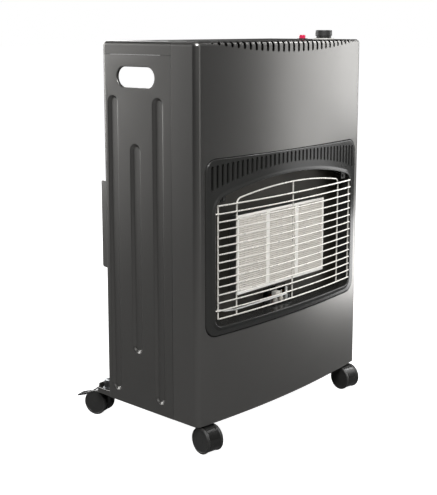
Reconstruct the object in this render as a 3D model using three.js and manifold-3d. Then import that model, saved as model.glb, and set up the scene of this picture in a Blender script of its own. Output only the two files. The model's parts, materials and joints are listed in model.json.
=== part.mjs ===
// Portable gas cabinet heater on four twin-wheel casters.
// Millimetres, +Z up, front towards -Y, +X to the viewer's right.
// While it is built, y = 0 is the line through the two front corners and z = 0 is the floor.
import * as THREE from 'three';
import { mergeVertices } from 'three/addons/utils/BufferGeometryUtils.js';
import Module from 'manifold-3d';

const wasm = await Module();
wasm.setup();

// ---- Driving dimensions -------------------------------------------------

// Clearances
const gap = 0.3;                    // between pieces that touch or run on each other
const cutOver = 5;                  // how far a cutting tool runs past the wall it cuts

// Casing
const bodyWidth = 478;
const bodyDepth = 231;              // front corners to the rear edge of the sides
const bodyHeight = 660;
const bodyLift = 50;                // floor to the underside of the casing
const bowDepth = 16.4;              // how far the front bulges at the middle
const cornerRadius = 12;            // upright front corners
const rearCornerRadius = 10;
const rollRadius = 8;               // rounded edge round the top
const sheet = 1.2;                  // pressed steel of the casing
const seamY = 58.7;                 // front panel's side return ends here
const skirtHeight = 23;             // top cover's edge
const flangeWidth = 20;             // folded edges of the side panels
const seamLap = 6;                  // side panel's tongue behind the cover's edge
const bowSteps = 16;
const rollSteps = 3;

// Pressed grooves and hand slot of each side
const grooveWidth = 27;
const grooveDepth = 4.5;
const grooveSet = 84;                // middle groove before the rear edge of the sides
const groovePitch = 56;
const outerGrooveTop = 566;         // heights over the casing's underside
const outerGrooveBottom = 19;
const middleGrooveTop = 483;
const middleGrooveBottom = 101;
const handSlotLength = 92.5;
const handSlotHeight = 35.5;
const handSlotSet = 86;             // its middle before the rear edge of the sides
const handSlotMiddleZ = 598;

// Base tray
const trayFloor = 1.5;
const trayLip = 10;
const trayOverhang = 44;            // behind the rear edge of the sides
const trayChamfer = 16;
const traySlotLength = 90;
const traySlotWidth = 8;
const traySlotCount = 4;
const traySlotPitch = 26;

// Slots over the top edge of the front
const ventCount = 29;
const ventInset = 36;               // outermost slot's axis inside the side
const ventWidth = 6;
const ventMiddleDrop = 20;          // lower end under the top at the middle
const ventEndDrop = 4.5;            // and at the two ends

// Window surround
const surroundMargin = 17;          // plain front beside it
const surroundTop = 466;
const surroundBottom = 155;
const surroundCorner = 25;
const surroundProud = 1.6;
const surroundWall = 2.2;
const surroundFlange = 6;
const surroundGap = 1.2;            // dark line round it
const louvreCount = 36;
const louvreInset = 15.5;           // outermost slot's axis inside the surround's edge
const louvreWidth = 5.4;
const louvreTop = 461.5;
const louvreTopDrop = 8;            // top ends of the outermost slots sit this much lower
const louvreBottom = 441.5;
const louvreBottomDrop = 31;
const windowBorder = 21;            // surround beside the opening
const windowTop = 423;
const windowArchRadius = 716;
const windowBottom = 172;
const windowTopCorner = 28;
const windowBottomCorner = 16;
const windowDepth = 24;             // depth of the recess behind the corner line
const earWidth = 13;
const earDrop = 11;
const earInset = 22;                // inside the window's side
const beadWidth = 8;                // raised rim round the opening
const beadProud = 4;
const beadSet = 2.5;                // its crest's flat, inside each flank
const surroundScrewHead = 3.2;
const surroundScrewThickness = 1.6;
const surroundScrewReach = 3;       // shank behind the ear
const surroundScrewShank = 1.5;

// Reflector panel
const reflectorSheet = 1.2;
const reflectorLap = 8;
const pilotCutWidth = 64;
const pilotCutBottom = 174;
const pilotCutTop = 202;
const leadHole = 3.2;
const leadTurnSet = 41;             // sensor lead turns back this far inside the left side
const leadRow = 190;                // and runs at this height

// Wire guard
const wireRadius = 1.35;
const guardProud = 4;
const guardWireCount = 15;
const guardBottom = 187.5;
const guardTop = 385;
const guardClear = 6.2;             // outer uprights inside the window's sides
const guardBar = 43.8;              // inner uprights inside the outer ones
const guardArchTop = 406;
const guardArchEnd = 392;
const guardBend = 9;
const guardStub = 1.4;              // wires' ends past the outer uprights
const guardLegReach = 5;            // leg's run back along the recess wall
const guardWireSteps = 8;
const guardArchSteps = 32;
const guardArchPoints = 6;
const guardLegWires = [1, 13];
const weldBite = 0.5;               // wires sink into each other where they are welded
const wireSides = 5;

// Burner
const burnerHalfWidth = 129;
const burnerTop = 357;
const burnerBottom = 213.5;
const burnerFaceY = 5;
const burnerDepth = 55;
const burnerSheet = 1.2;
const burnerFrame = 1.8;
const frameBorder = 4.5;
const frameBar = 9.6;
const plaqueThickness = 12.7;
const plaqueCount = 3;
const plaqueLedge = 3;

// Mixing tubes and gas rail
const mixerRadius = 10;
const mixerWall = 1.2;
const mixerMouth = 14;
const mixerLength = 62;
const mixerTenon = 6;
const mixerFlare = 14;
const railSide = 10;
const jetRadius = 2.4;
const jetHeight = 7;
const jetReach = 2;
const railOverhang = 17;            // blind end past the left jet
const railLugX = 60;
const railLugWidth = 14;
const railLugSheet = 2;

// Pilot light
const pilotShelfRise = 3;           // over the window's sill
const pilotShelfWidth = 60;
const pilotShelfFront = 4;
const pilotSheet = 1.2;
const pilotFoot = 2;                // foot's drop under the shelf
const pilotCheekHeight = 8;
const pilotCheekSet = 6;            // cheeks start this far behind the shelf's edge
const pilotStemRadius = 3;
const pilotStemDrop = 1.5;
const pilotCollarRadius = 5;
const pilotCollarTop = 5;           // heights over the shelf's underside
const pilotTop = 22;
const pilotHoodHeight = 9;
const pilotHoodHalf = 7;
const pilotHoodFront = 6;
const pilotHoodBack = 4;
const pilotWall = 1.5;
const electrodeCoreTop = 12;
const electrodeTop = 21;
const electrodeRadius = 1;
const electrodeLean = 1.5;
const sensorTop = 24;
const sensorTipRadius = 2;
const pilotRowY = 11;
const pilotBurnerX = -12;
const electrodeX = 5;
const thermocoupleX = 20;

// Partition between burner and bottle
const partitionY = 76;
const partitionClear = 1;           // under the casing's top
const partitionFlange = 15;
const shieldHalfWidth = 110;
const shieldZ = 540;
const shieldFrontY = 32;
const shieldRise = 14;              // front edge over the fold
const shieldSlant = 12;             // fold's distance from the partition
const shieldDrop = 22;              // lower edge under the fold

// Gas tap and its knob, igniter and its button
const tapInset = 61;                // tap's axis inside the right side
const tapY = 47;
const tapWidth = 36;
const tapDepth = 30;
const tapHeight = 46;
const tapNeck = 11;                 // radius of the round neck under the top
const tapBore = 6;
const tapBoreDepth = 38;
const tapDrop = 10;                 // body's top under the casing
const tapInletRadius = 7;
const tapInletSet = 6;              // inlet ends this far before the partition
const tapPipeOffset = 8;
const plungerHeight = 8;
const plungerRoom = 1;
const knobPress = 4;
const spindleRadius = 4;
const dialRadius = 20.5;
const dialBossRadius = 14.8;        // round boss that the knob's skirt runs over
const dialHeight = 2;
const dialSlope = 1;
const spindleClear = 2;             // hole in the casing round the spindle
const knobRadius = 16.5;
const knobHeight = 11;
const knobDraft = 0.4;
const knobRound = 1.2;
const knobGripWidth = 13;
const knobFloor = 1.5;              // wall between the recess underneath and the grip's hollows
const knobGripTurn = -43;           // bar's angle from across the heater at rest
const knobRoom = 0.6;               // free height left under the pressed knob
const knobSocket = 9;
const buttonSpacing = 69.5;         // tap's axis to the button's
const buttonY = 47;
const buttonRadius = 6;
const buttonProud = 9;
const buttonTravel = 5;
const buttonLength = 20;
const buttonRound = 1.5;
const buttonRoom = 1;
const igniterRadius = 9.5;
const igniterNeck = 8;
const igniterCollar = 2.2;
const igniterCollarSpread = 2;
const igniterLength = 46;

// Pipes and leads
const mainPipeRadius = 3;
const pilotPipeRadius = 2;
const leadRadius = 1.6;
const nippleRadius = 4.5;
const nippleZ = 618;
const nippleLength = 30;
const nippleBore = 2;
const nippleWall = 3;
const nutRadius = 8;
const nutLength = 9;
const barbCount = 3;
const barbStart = 10;
const barbPitch = 6;
const barbLength = 5;
const barbDepth = 1.2;
const leadSet = 9;                  // leads run this far before the partition
const leadRise = 60;                // and over the heat shield's fold
const leadEntry = 19.5;             // sensor lead's end over the tap's foot
const pipeSet = 6.5;                // behind the reflector's front

// Bottle retainer behind the open back
const retainerBottom = 240;
const retainerHeight = 164;
const retainerReach = 36;
const retainerSlope = 5.5;
const retainerBend = 6;             // outer radius of its upright bends
const retainerCorner = 8;           // cut-off top and bottom corners of its sides
const retainerFlange = 9;
const retainerSheet = 1.2;
const retainerEdge = 9.5;           // flange's outer edge inside the casing's side
const hookDrop = 12;                // finger below the hook's bar
const hookClear = 2;
const hookHeight = 12;
const hookWidth = 3;
const hookZ = 350;

// Casters
const wheelRadius = 23.5;
const wheelWidth = 5.5;
const wheelEdge = 1.8;
const wheelSink = 0.8;              // face of the wheel inside its rim
const wheelRim = 3;
const wheelWeb = 2;
const hoodWidth = 23;
const hoodRadius = 22.8;
const hoodClear = 6;                // hood's lower edge over the floor
const casterTrail = 22;
const casterInset = 29;             // stem's axis inside the side
const frontCasterY = 22;
const rearCasterInset = 17;         // and before the tray's rear edge
const frontCasterTurn = -9;
const rearCasterTurn = 195;
const axleRadius = 3;
const stemRadius = 4;
const stemSet = 2;                  // stem ends this far under the socket's top
const neckRadius = 8;
const socketRadius = 9;
const socketHeight = 17;
const socketFlange = 4;
const socketFlangeThickness = 2;
const brakeArmWidth = 11;
const brakePadWidth = 20;
const brakePadLength = 19;
const brakeThickness = 3.2;
const brakeKnuckle = 3.4;
const brakeStart = 2.5;             // pad's clearance outside the wheel
const brakePivotBack = 14.1;        // pivot behind and over the wheel's axle
const brakePivotRise = 12.5;
const brakeLap = 2;
const brakeStep = 2;
const brakeTipDrop = 8;
const brakeRoom = 3;

// ---- Values worked out from them ----------------------------------------

const halfWidth = bodyWidth / 2;
const bodyTop = bodyLift + bodyHeight;
const underTop = bodyTop - sheet;
const bowRadius = (halfWidth * halfWidth + bowDepth * bowDepth) / (2 * bowDepth);
const bowCentreY = bowRadius - bowDepth;
const innerHalf = halfWidth - sheet - gap;
const trayTop = bodyLift + trayFloor;
const coverEdgeZ = bodyTop - skirtHeight;
const panelBack = sheet + gap;
const hookLift = hookDrop + hookClear;
const grooveMiddleY = bodyDepth - grooveSet;
const handSlotMiddleY = bodyDepth - handSlotSet;
const ventPitch = (2 * (halfWidth - ventInset)) / (ventCount - 1);
const surroundHalfWidth = halfWidth - surroundMargin;
const louvrePitch = (2 * (surroundHalfWidth - louvreInset)) / (louvreCount - 1);
const windowHalfWidth = surroundHalfWidth - windowBorder;
const earX = windowHalfWidth - earInset;
const guardHalfWidth = windowHalfWidth - guardClear;
const guardInnerX = guardHalfWidth - guardBar;
const partitionTop = bodyHeight - sheet - partitionClear;
const tapX = halfWidth - tapInset;
const buttonX = tapX - buttonSpacing;
const casterX = halfWidth - casterInset;
const rearCasterY = bodyDepth + trayOverhang - rearCasterInset;

// ---- Finishes -----------------------------------------------------------

function finish(colour, roughness, metalness) {
  return new THREE.MeshStandardMaterial({ color: colour, roughness, metalness });
}

const panelPaint = finish(0x4a4a48, 0.35, 0.6);
const sidePaint = finish(0x3a3a39, 0.45, 0.4);
const surroundPaint = finish(0x2e2e2c, 0.5, 0.2);
const innerSteel = finish(0x33312e, 0.55, 0.5);
const zincSteel = finish(0x9a9c9c, 0.4, 0.9);
const nickelWire = finish(0xd8d6cf, 0.25, 1.0);
const ceramic = finish(0xc9c5c0, 0.9, 0);
const paleFrame = finish(0xece9e4, 0.7, 0.1);
const brass = finish(0xb8964f, 0.35, 0.9);
const copper = finish(0xb0714a, 0.4, 0.9);
const blackPlastic = finish(0x1c1c1b, 0.4, 0);
const glossBlack = finish(0x2b2b29, 0.25, 0);
const redPlastic = finish(0xc21f4b, 0.35, 0);
const porcelain = finish(0xe8e4dc, 0.4, 0);

// ---- Solids -------------------------------------------------------------

function toSolid(geometry) {
  const bare = geometry.index ? geometry.clone() : geometry;
  bare.deleteAttribute('normal');
  bare.deleteAttribute('uv');
  const merged = mergeVertices(bare, 1e-4);
  const mesh = new wasm.Mesh({
    numProp: 3,
    vertProperties: new Float32Array(merged.attributes.position.array),
    triVerts: new Uint32Array(merged.index.array),
  });
  return new wasm.Manifold(mesh);
}

function toGeometry(solid) {
  const mesh = solid.getMesh();
  const geometry = new THREE.BufferGeometry();
  geometry.setAttribute('position', new THREE.BufferAttribute(mesh.vertProperties, 3));
  geometry.setIndex(new THREE.BufferAttribute(mesh.triVerts, 1));
  geometry.computeVertexNormals();
  return geometry;
}

function unite(solids) {
  return solids.reduce((sum, solid) => sum.add(solid));
}

function carve(solid, cutters) {
  return cutters.reduce((rest, cutter) => rest.subtract(cutter), solid);
}

function block(x0, x1, y0, y1, z0, z1) {
  const geometry = new THREE.BoxGeometry(x1 - x0, y1 - y0, z1 - z0);
  geometry.translate((x0 + x1) / 2, (y0 + y1) / 2, (z0 + z1) / 2);
  return toSolid(geometry);
}

// Round bar between two points.
function bar(from, to, radius, sides = 16, endRadius = radius) {
  const start = new THREE.Vector3(...from);
  const end = new THREE.Vector3(...to);
  const along = end.clone().sub(start);
  const geometry = new THREE.CylinderGeometry(endRadius, radius, along.length(), sides);
  const turn = new THREE.Quaternion().setFromUnitVectors(
    new THREE.Vector3(0, 1, 0), along.clone().normalize());
  geometry.applyQuaternion(turn);
  const middle = start.add(end).multiplyScalar(0.5);
  geometry.translate(middle.x, middle.y, middle.z);
  return toSolid(geometry);
}

// Outline in plan (x, y), raised from z0 to z1.
function raise(points, z0, z1) {
  const geometry = new THREE.ExtrudeGeometry(new THREE.Shape(points), {
    depth: z1 - z0, bevelEnabled: false,
  });
  geometry.translate(0, 0, z0);
  return toSolid(geometry);
}

// Outline in the front view (x, z), run from y0 back to y1.
function runBack(points, y0, y1) {
  const geometry = new THREE.ExtrudeGeometry(new THREE.Shape(points), {
    depth: y1 - y0, bevelEnabled: false,
  });
  geometry.rotateX(Math.PI / 2);
  geometry.translate(0, y1, 0);
  return toSolid(geometry);
}

// Outline in the side view (y, z), run from x0 across to x1.
function runAcross(points, x0, x1) {
  const geometry = new THREE.ExtrudeGeometry(new THREE.Shape(points), {
    depth: x1 - x0, bevelEnabled: false,
  });
  geometry.applyMatrix4(new THREE.Matrix4().makeBasis(
    new THREE.Vector3(0, 1, 0), new THREE.Vector3(0, 0, 1), new THREE.Vector3(1, 0, 0)));
  geometry.translate(x0, 0, 0);
  return toSolid(geometry);
}

// Round tube or solid rod along a smooth curve through the points.
function rod(points, radius, steps, sides = 8) {
  const path = new THREE.CatmullRomCurve3(
    points.map((p) => new THREE.Vector3(...p)), false, 'centripetal');
  const section = new THREE.Shape(arc(0, 0, radius, 0, 2 * Math.PI, sides).slice(0, sides));
  const geometry = new THREE.ExtrudeGeometry(section, { steps, extrudePath: path });
  return toSolid(geometry);
}

// Solid of revolution about an upright axis, from (radius, height) pairs.
function turned(profile, sides) {
  const points = profile.map(([r, z]) => new THREE.Vector2(r, z));
  const geometry = new THREE.LatheGeometry(points, sides);
  geometry.rotateX(Math.PI / 2);
  return toSolid(geometry);
}

// ---- Outlines -----------------------------------------------------------

function arc(cx, cy, radius, from, to, steps) {
  const points = [];
  for (let i = 0; i <= steps; i += 1) {
    const angle = from + ((to - from) * i) / steps;
    points.push(new THREE.Vector2(cx + radius * Math.cos(angle), cy + radius * Math.sin(angle)));
  }
  return points;
}

// Rectangle with one long side bowed out towards +v and all four corners rounded.
function bowedOutline(form, inset) {
  const { half, radius, peak, base, bowCorner, baseCorner, steps } = form;
  const centre = peak - radius;
  const cornerU = half - bowCorner;
  const cornerV = centre + Math.sqrt((radius - bowCorner) ** 2 - cornerU ** 2);
  const lean = Math.atan2(cornerV - centre, cornerU);
  const baseU = half - baseCorner;
  const baseV = base + baseCorner;
  const quarter = Math.PI / 2;
  return [
    ...arc(cornerU, cornerV, bowCorner - inset, 0, lean, 5),
    ...arc(0, centre, radius - inset, lean, Math.PI - lean, steps).slice(1, -1),
    ...arc(-cornerU, cornerV, bowCorner - inset, Math.PI - lean, Math.PI, 5),
    ...arc(-baseU, baseV, baseCorner - inset, Math.PI, Math.PI + quarter, 4),
    ...arc(baseU, baseV, baseCorner - inset, Math.PI + quarter, 2 * Math.PI, 4),
  ];
}

const casingForm = {
  half: halfWidth,
  radius: bowRadius,
  peak: bowDepth,
  base: -bodyDepth,
  bowCorner: cornerRadius,
  baseCorner: rearCornerRadius,
  steps: bowSteps,
};

const windowForm = {
  half: windowHalfWidth,
  radius: windowArchRadius,
  peak: bodyLift + windowTop,
  base: bodyLift + windowBottom,
  bowCorner: windowTopCorner,
  baseCorner: windowBottomCorner,
  steps: 14,
};

function casingPlan(inset) {
  return bowedOutline(casingForm, inset).map((p) => new THREE.Vector2(p.x, -p.y));
}

function roundedBox(x0, x1, z0, z1, radius, steps = 6) {
  const quarter = Math.PI / 2;
  return [
    ...arc(x1 - radius, z1 - radius, radius, 0, quarter, steps),
    ...arc(x0 + radius, z1 - radius, radius, quarter, 2 * quarter, steps),
    ...arc(x0 + radius, z0 + radius, radius, 2 * quarter, 3 * quarter, steps),
    ...arc(x1 - radius, z0 + radius, radius, 3 * quarter, 4 * quarter, steps),
  ];
}

// Upright slot with round ends.
function slotOutline(u, low, high, width, steps = 4) {
  const radius = width / 2;
  return [
    ...arc(u, high - radius, radius, 0, Math.PI, steps),
    ...arc(u, low + radius, radius, Math.PI, 2 * Math.PI, steps),
  ];
}

// Slot lying along u.
function lyingSlotOutline(low, high, v, width, steps = 6) {
  const radius = width / 2;
  const quarter = Math.PI / 2;
  return [
    ...arc(high - radius, v, radius, -quarter, quarter, steps),
    ...arc(low + radius, v, radius, quarter, 3 * quarter, steps),
  ];
}

// The front's face moved out by proud, at a place x along it.
function frontY(x, proud) {
  return bowCentreY - Math.sqrt((bowRadius + proud) ** 2 - x * x);
}

// Sheet that follows the bowed front, from proud before its face to back behind it.
function bowBand(half, proud, back, z0, z1) {
  const outer = bowRadius + proud;
  const inner = bowRadius - back;
  const spread = Math.asin(half / outer);
  const from = -Math.PI / 2 - spread;
  const to = -Math.PI / 2 + spread;
  const points = [
    ...arc(0, bowCentreY, outer, from, to, bowSteps),
    ...arc(0, bowCentreY, inner, to, from, bowSteps),
  ];
  return raise(points, z0, z1);
}

// Everything from proud before the front's face back to the plane y = back.
function bowFill(half, proud, back, z0, z1) {
  const spread = Math.asin(half / (bowRadius + proud));
  const points = [
    ...arc(0, bowCentreY, bowRadius + proud, -Math.PI / 2 - spread, -Math.PI / 2 + spread, bowSteps),
    new THREE.Vector2(half, back),
    new THREE.Vector2(-half, back),
  ];
  return raise(points, z0, z1);
}

// The value a share of the way from one to another.
function between(from, to, share) {
  return from + (to - from) * share;
}

// Height of an arc over the front view that peaks at x = 0 and drops by drop at x = end.
function archHeight(x, peak, drop, end) {
  const radius = (end * end + drop * drop) / (2 * drop);
  return peak - radius + Math.sqrt(radius * radius - x * x);
}

// ---- Assembly -----------------------------------------------------------

const heater = new THREE.Group();

function place(name, solid, material, parent = heater) {
  const mesh = new THREE.Mesh(toGeometry(solid), material);
  mesh.name = name;
  parent.add(mesh);
}

// ---- Casing -------------------------------------------------------------

// Solid hood with its rounded top edge, drawn in by inset.
function hoodSolid(inset, floorZ) {
  const radius = rollRadius - inset;
  const geometry = new THREE.ExtrudeGeometry(new THREE.Shape(casingPlan(inset)), {
    depth: bodyTop - rollRadius - floorZ,
    bevelEnabled: true,
    bevelThickness: radius,
    bevelSize: radius,
    bevelOffset: -radius,
    bevelSegments: rollSteps,
  });
  geometry.translate(0, 0, floorZ);
  return toSolid(geometry);
}

function casingShell() {
  const outer = hoodSolid(0, bodyLift);
  const inner = hoodSolid(sheet, bodyLift - rollRadius);
  const shell = outer.subtract(inner);
  const below = block(-bodyWidth, bodyWidth, -bodyWidth, bodyWidth, 0, bodyLift);
  return shell.subtract(below);
}

const shell = casingShell();
const far = 2 * bodyWidth;

function ventCutters() {
  const cutters = [];
  const end = ((ventCount - 1) / 2) * ventPitch;
  for (let i = 0; i < ventCount; i += 1) {
    const x = (i - (ventCount - 1) / 2) * ventPitch;
    const low = archHeight(x, bodyTop - ventEndDrop, ventMiddleDrop - ventEndDrop, end);
    const dip = 2 * (bodyTop - ventEndDrop) - (ventMiddleDrop - ventEndDrop) - low;
    cutters.push(runBack(slotOutline(x, dip, bodyTop + cutOver, ventWidth, 2), -3 * bowDepth, 0));
  }
  return cutters;
}

function surroundOutline(grow) {
  return roundedBox(
    -surroundHalfWidth - grow, surroundHalfWidth + grow,
    bodyLift + surroundBottom - grow, bodyLift + surroundTop + grow, surroundCorner + grow, 8);
}

function frontPanel() {
  const front = shell.subtract(block(-far, far, seamY, far, 0, far));
  const cutters = [
    runBack(surroundOutline(0), -far, seamY / 2),
    bar([tapX, tapY, underTop - cutOver], [tapX, tapY, bodyTop + cutOver],
      spindleRadius + spindleClear, 20),
    bar([buttonX, buttonY, underTop - cutOver], [buttonX, buttonY, bodyTop + cutOver],
      igniterNeck + gap, 24),
    ...ventCutters(),
  ];
  return carve(front, cutters);
}

function topCover() {
  const low = block(-far, far, -far, far, 0, coverEdgeZ);
  const front = block(-far, far, -far, seamY + gap, 0, far);
  return carve(shell, [low, front]);
}

// Pressed groove: the sheet bulges inwards by grooveDepth.
function groove(y, low, high, side) {
  const x1 = side * (halfWidth - sheet / 2);
  const x0 = side * (halfWidth - sheet - grooveDepth);
  const bulge = slotOutline(y, bodyLift + low - sheet, bodyLift + high + sheet,
    grooveWidth + 2 * sheet, 6);
  return runAcross(bulge, Math.min(x0, x1), Math.max(x0, x1));
}

function grooveHollow(y, low, high, side) {
  const x1 = side * (halfWidth + cutOver);
  const x0 = side * (halfWidth - grooveDepth);
  const hollow = slotOutline(y, bodyLift + low, bodyLift + high, grooveWidth, 6);
  return runAcross(hollow, Math.min(x0, x1), Math.max(x0, x1));
}

function grooveList() {
  return [-1, 0, 1].map((step) => ({
    y: grooveMiddleY + step * groovePitch,
    low: step === 0 ? middleGrooveBottom : outerGrooveBottom,
    high: step === 0 ? middleGrooveTop : outerGrooveTop,
  }));
}

// Joggled upper edge that closes the seam from behind.
function seamTongue(side) {
  const outer = halfWidth - sheet - gap;
  const inner = side * (outer - sheet);
  const from = seamY + gap;
  const to = bodyDepth - rearCornerRadius;
  return [[outer, seamLap], [halfWidth - sheet / 2, -gap]].map(([x, rise]) => block(
    Math.min(inner, side * x), Math.max(inner, side * x), from, to,
    coverEdgeZ - seamLap, coverEdgeZ + rise));
}

function sidePanel(side) {
  const inner = halfWidth - flangeWidth;
  const other = block(Math.min(side * inner, -side * far), Math.max(side * inner, -side * far),
    -far, far, 0, far);
  const front = block(-far, far, -far, seamY + gap, 0, far);
  const high = block(-far, far, -far, far, coverEdgeZ - gap, far);
  const web = carve(shell, [other, front, high]);
  const flangeX = [side * (halfWidth - sheet / 2), side * inner];
  const flange = block(Math.min(...flangeX), Math.max(...flangeX),
    seamY + gap, seamY + gap + sheet, bodyLift, coverEdgeZ - gap);
  const grooves = grooveList();
  const pressed = unite([web, flange, ...seamTongue(side),
    ...grooves.map((g) => groove(g.y, g.low, g.high, side))]);
  const slotX = [side * (halfWidth + cutOver), side * (inner - cutOver)];
  const handSlot = runAcross(
    lyingSlotOutline(handSlotMiddleY - handSlotLength / 2, handSlotMiddleY + handSlotLength / 2,
      bodyLift + handSlotMiddleZ, handSlotHeight), Math.min(...slotX), Math.max(...slotX));
  const hookX = side * (halfWidth - retainerEdge - retainerFlange / 2);
  const hookSlot = block(hookX - hookWidth / 2 - gap, hookX + hookWidth / 2 + gap,
    bodyDepth - 2 * sheet, bodyDepth + cutOver,
    bodyLift + hookZ - gap, bodyLift + hookZ + hookHeight + 2 * hookLift);
  const trayRoom = block(-innerHalf - gap / 2, innerHalf + gap / 2, -far, far,
    0, bodyLift + trayLip + gap);
  return carve(pressed, [handSlot, hookSlot, trayRoom,
    ...grooves.map((g) => grooveHollow(g.y, g.low, g.high, side))]);
}

function trayPlan(inset) {
  const front = casingPlan(sheet + gap + inset).filter((p) => p.y < seamY);
  const half = innerHalf - inset;
  const rear = bodyDepth + trayOverhang - inset;
  front.sort((a, b) => a.x - b.x);
  const left = front.filter((p) => p.x < -half + 1e-6);
  const curve = front.filter((p) => Math.abs(p.x) < half - 1e-6);
  const cornerY = Math.max(...left.map((p) => p.y));
  return [
    new THREE.Vector2(-half, cornerY),
    ...curve,
    new THREE.Vector2(half, cornerY),
    new THREE.Vector2(half, rear - trayChamfer),
    new THREE.Vector2(half - trayChamfer, rear),
    new THREE.Vector2(-half + trayChamfer, rear),
    new THREE.Vector2(-half, rear - trayChamfer),
  ];
}

function baseTray() {
  const body = raise(trayPlan(0), bodyLift, bodyLift + trayLip);
  const hollow = raise(trayPlan(sheet), trayTop, bodyLift + trayLip + cutOver);
  const cutters = [hollow];
  for (const y of [frontCasterY, rearCasterY]) {
    for (const side of [-1, 1]) {
      cutters.push(bar([side * casterX, y, bodyLift - cutOver],
        [side * casterX, y, trayTop + cutOver], stemRadius + 2 * gap, 16));
    }
  }
  for (let i = 0; i < traySlotCount; i += 1) {
    const y = (partitionY + bodyDepth) / 2 + (i - (traySlotCount - 1) / 2) * traySlotPitch;
    const slot = lyingSlotOutline(-traySlotLength / 2, traySlotLength / 2, y, traySlotWidth);
    cutters.push(raise(slot, bodyLift - cutOver, trayTop + cutOver));
  }
  return carve(body, cutters);
}

function partitionPanel() {
  const z0 = trayTop + gap;
  const z1 = bodyLift + partitionTop;
  const half = innerHalf - grooveDepth - sheet;
  const web = block(-half, half, partitionY, partitionY + sheet, z0, z1);
  const flanges = [-1, 1].map((side) => {
    const x = [side * half, side * (half - sheet)];
    return block(Math.min(...x), Math.max(...x), partitionY, partitionY + partitionFlange, z0, z1);
  });
  const foot = block(-half, half, partitionY, partitionY + partitionFlange, z0, z0 + sheet);
  const hole = bar([tapX, partitionY - cutOver, bodyLift + nippleZ],
    [tapX, partitionY + cutOver, bodyLift + nippleZ], nippleRadius + gap, 20);
  return unite([web, ...flanges, foot]).subtract(hole);
}

// Baffle over the burner, hung on the partition.
function heatShield() {
  const fold = bodyLift + shieldZ;
  const low = fold - shieldDrop;
  const rear = partitionY - gap;
  const outline = [
    [shieldFrontY, fold + shieldRise], [rear - shieldSlant, fold], [rear, low],
    [rear, low - 2 * sheet], [rear - sheet, low - 2 * sheet], [rear - sheet, low],
    [rear - shieldSlant - sheet, fold - sheet], [shieldFrontY, fold + shieldRise - sheet],
  ].map(([y, z]) => new THREE.Vector2(y, z));
  return runAcross(outline, -shieldHalfWidth, shieldHalfWidth);
}

place('front_panel', frontPanel(), panelPaint);
place('top_cover', topCover(), sidePaint);
place('left_side_panel', sidePanel(-1), sidePaint);
place('right_side_panel', sidePanel(1), sidePaint);
place('base_tray', baseTray(), sidePaint);
place('partition_panel', partitionPanel(), innerSteel);
place('heat_shield', heatShield(), zincSteel);

// ---- Window surround, reflector and wire guard --------------------------

function windowOutline(grow) {
  return bowedOutline(windowForm, -grow);
}

function louvreCutters() {
  const cutters = [];
  const end = ((louvreCount - 1) / 2) * louvrePitch;
  for (let i = 0; i < louvreCount; i += 1) {
    const x = (i - (louvreCount - 1) / 2) * louvrePitch;
    const high = bodyLift + archHeight(x, louvreTop, louvreTopDrop, end);
    const low = bodyLift + archHeight(x, louvreBottom, louvreBottomDrop, end);
    cutters.push(runBack(slotOutline(x, low, high, louvreWidth, 2), -3 * bowDepth, windowDepth));
  }
  return cutters;
}

function windowSurround() {
  const reach = surroundHalfWidth + surroundFlange;
  const face = runBack(surroundOutline(-surroundGap), -far, windowDepth)
    .intersect(bowBand(reach, surroundProud, panelBack + surroundWall / 2, 0, bodyTop));
  const flange = runBack(surroundOutline(surroundFlange), -far, windowDepth)
    .intersect(bowBand(reach, -panelBack, panelBack + surroundWall, 0, bodyTop));
  const sleeve = runBack(windowOutline(surroundWall), -far, windowDepth)
    .intersect(bowFill(reach, 0, windowDepth, 0, bodyTop));
  const rim = [[beadWidth, 0, beadProud / 2], [beadWidth - beadSet, beadSet, beadProud]].map(
    ([grow, hole, proud]) => runBack(windowOutline(grow), -far, windowDepth)
      .intersect(bowBand(reach, proud, panelBack, 0, bodyTop))
      .subtract(runBack(windowOutline(hole), -far, windowDepth)));
  const ears = [-1, 1].map((side) => {
    const z = bodyLift + earArch();
    const y = frontY(earX, 0) + surroundWall;
    return block(side * earX - earWidth / 2, side * earX + earWidth / 2,
      y, y + surroundWall, z - earDrop, z + surroundWall);
  });
  const holes = [-1, 1].map((side) => bar([side * earX, -far / 4, earZ()],
    [side * earX, windowDepth, earZ()], surroundScrewShank + gap, 12));
  const opening = runBack(windowOutline(0), -far, windowDepth + cutOver);
  const hollow = carve(unite([face, flange, sleeve, ...rim]), [opening, ...louvreCutters()]);
  return carve(hollow.add(unite(ears)), holes);
}

function earArch() {
  return windowTop - windowArchRadius + Math.sqrt(windowArchRadius ** 2 - earX ** 2);
}

function earZ() {
  return bodyLift + earArch() - earDrop / 2;
}

function surroundScrew(side) {
  const x = side * earX;
  const seat = frontY(earX, 0) + surroundWall - gap;
  const head = bar([x, seat - surroundScrewThickness, earZ()], [x, seat, earZ()],
    surroundScrewHead, 16);
  const shank = bar([x, seat - surroundScrewThickness / 2, earZ()],
    [x, seat + gap + surroundWall + surroundScrewReach, earZ()], surroundScrewShank, 12);
  return head.add(shank);
}

function reflectorPanel() {
  const y0 = windowDepth + gap;
  const plate = runBack(windowOutline(reflectorLap), y0, y0 + reflectorSheet);
  const cutters = [
    block(-burnerHalfWidth - gap + frameBorder / 2, burnerHalfWidth + gap - frameBorder / 2,
      0, far, bodyLift + burnerBottom - gap + frameBorder / 2,
      bodyLift + burnerTop + gap - frameBorder / 2),
    block(-pilotCutWidth / 2, pilotCutWidth / 2, 0, far,
      bodyLift + pilotCutBottom, bodyLift + pilotCutTop),
    bar([leadTurnX, y0 - cutOver, leadRowZ], [leadTurnX, y0 + cutOver, leadRowZ], leadHole, 12),
  ];
  return carve(plate, cutters);
}

const leadTurnX = leadTurnSet - windowHalfWidth;
const leadRowZ = bodyLift + leadRow;

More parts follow.
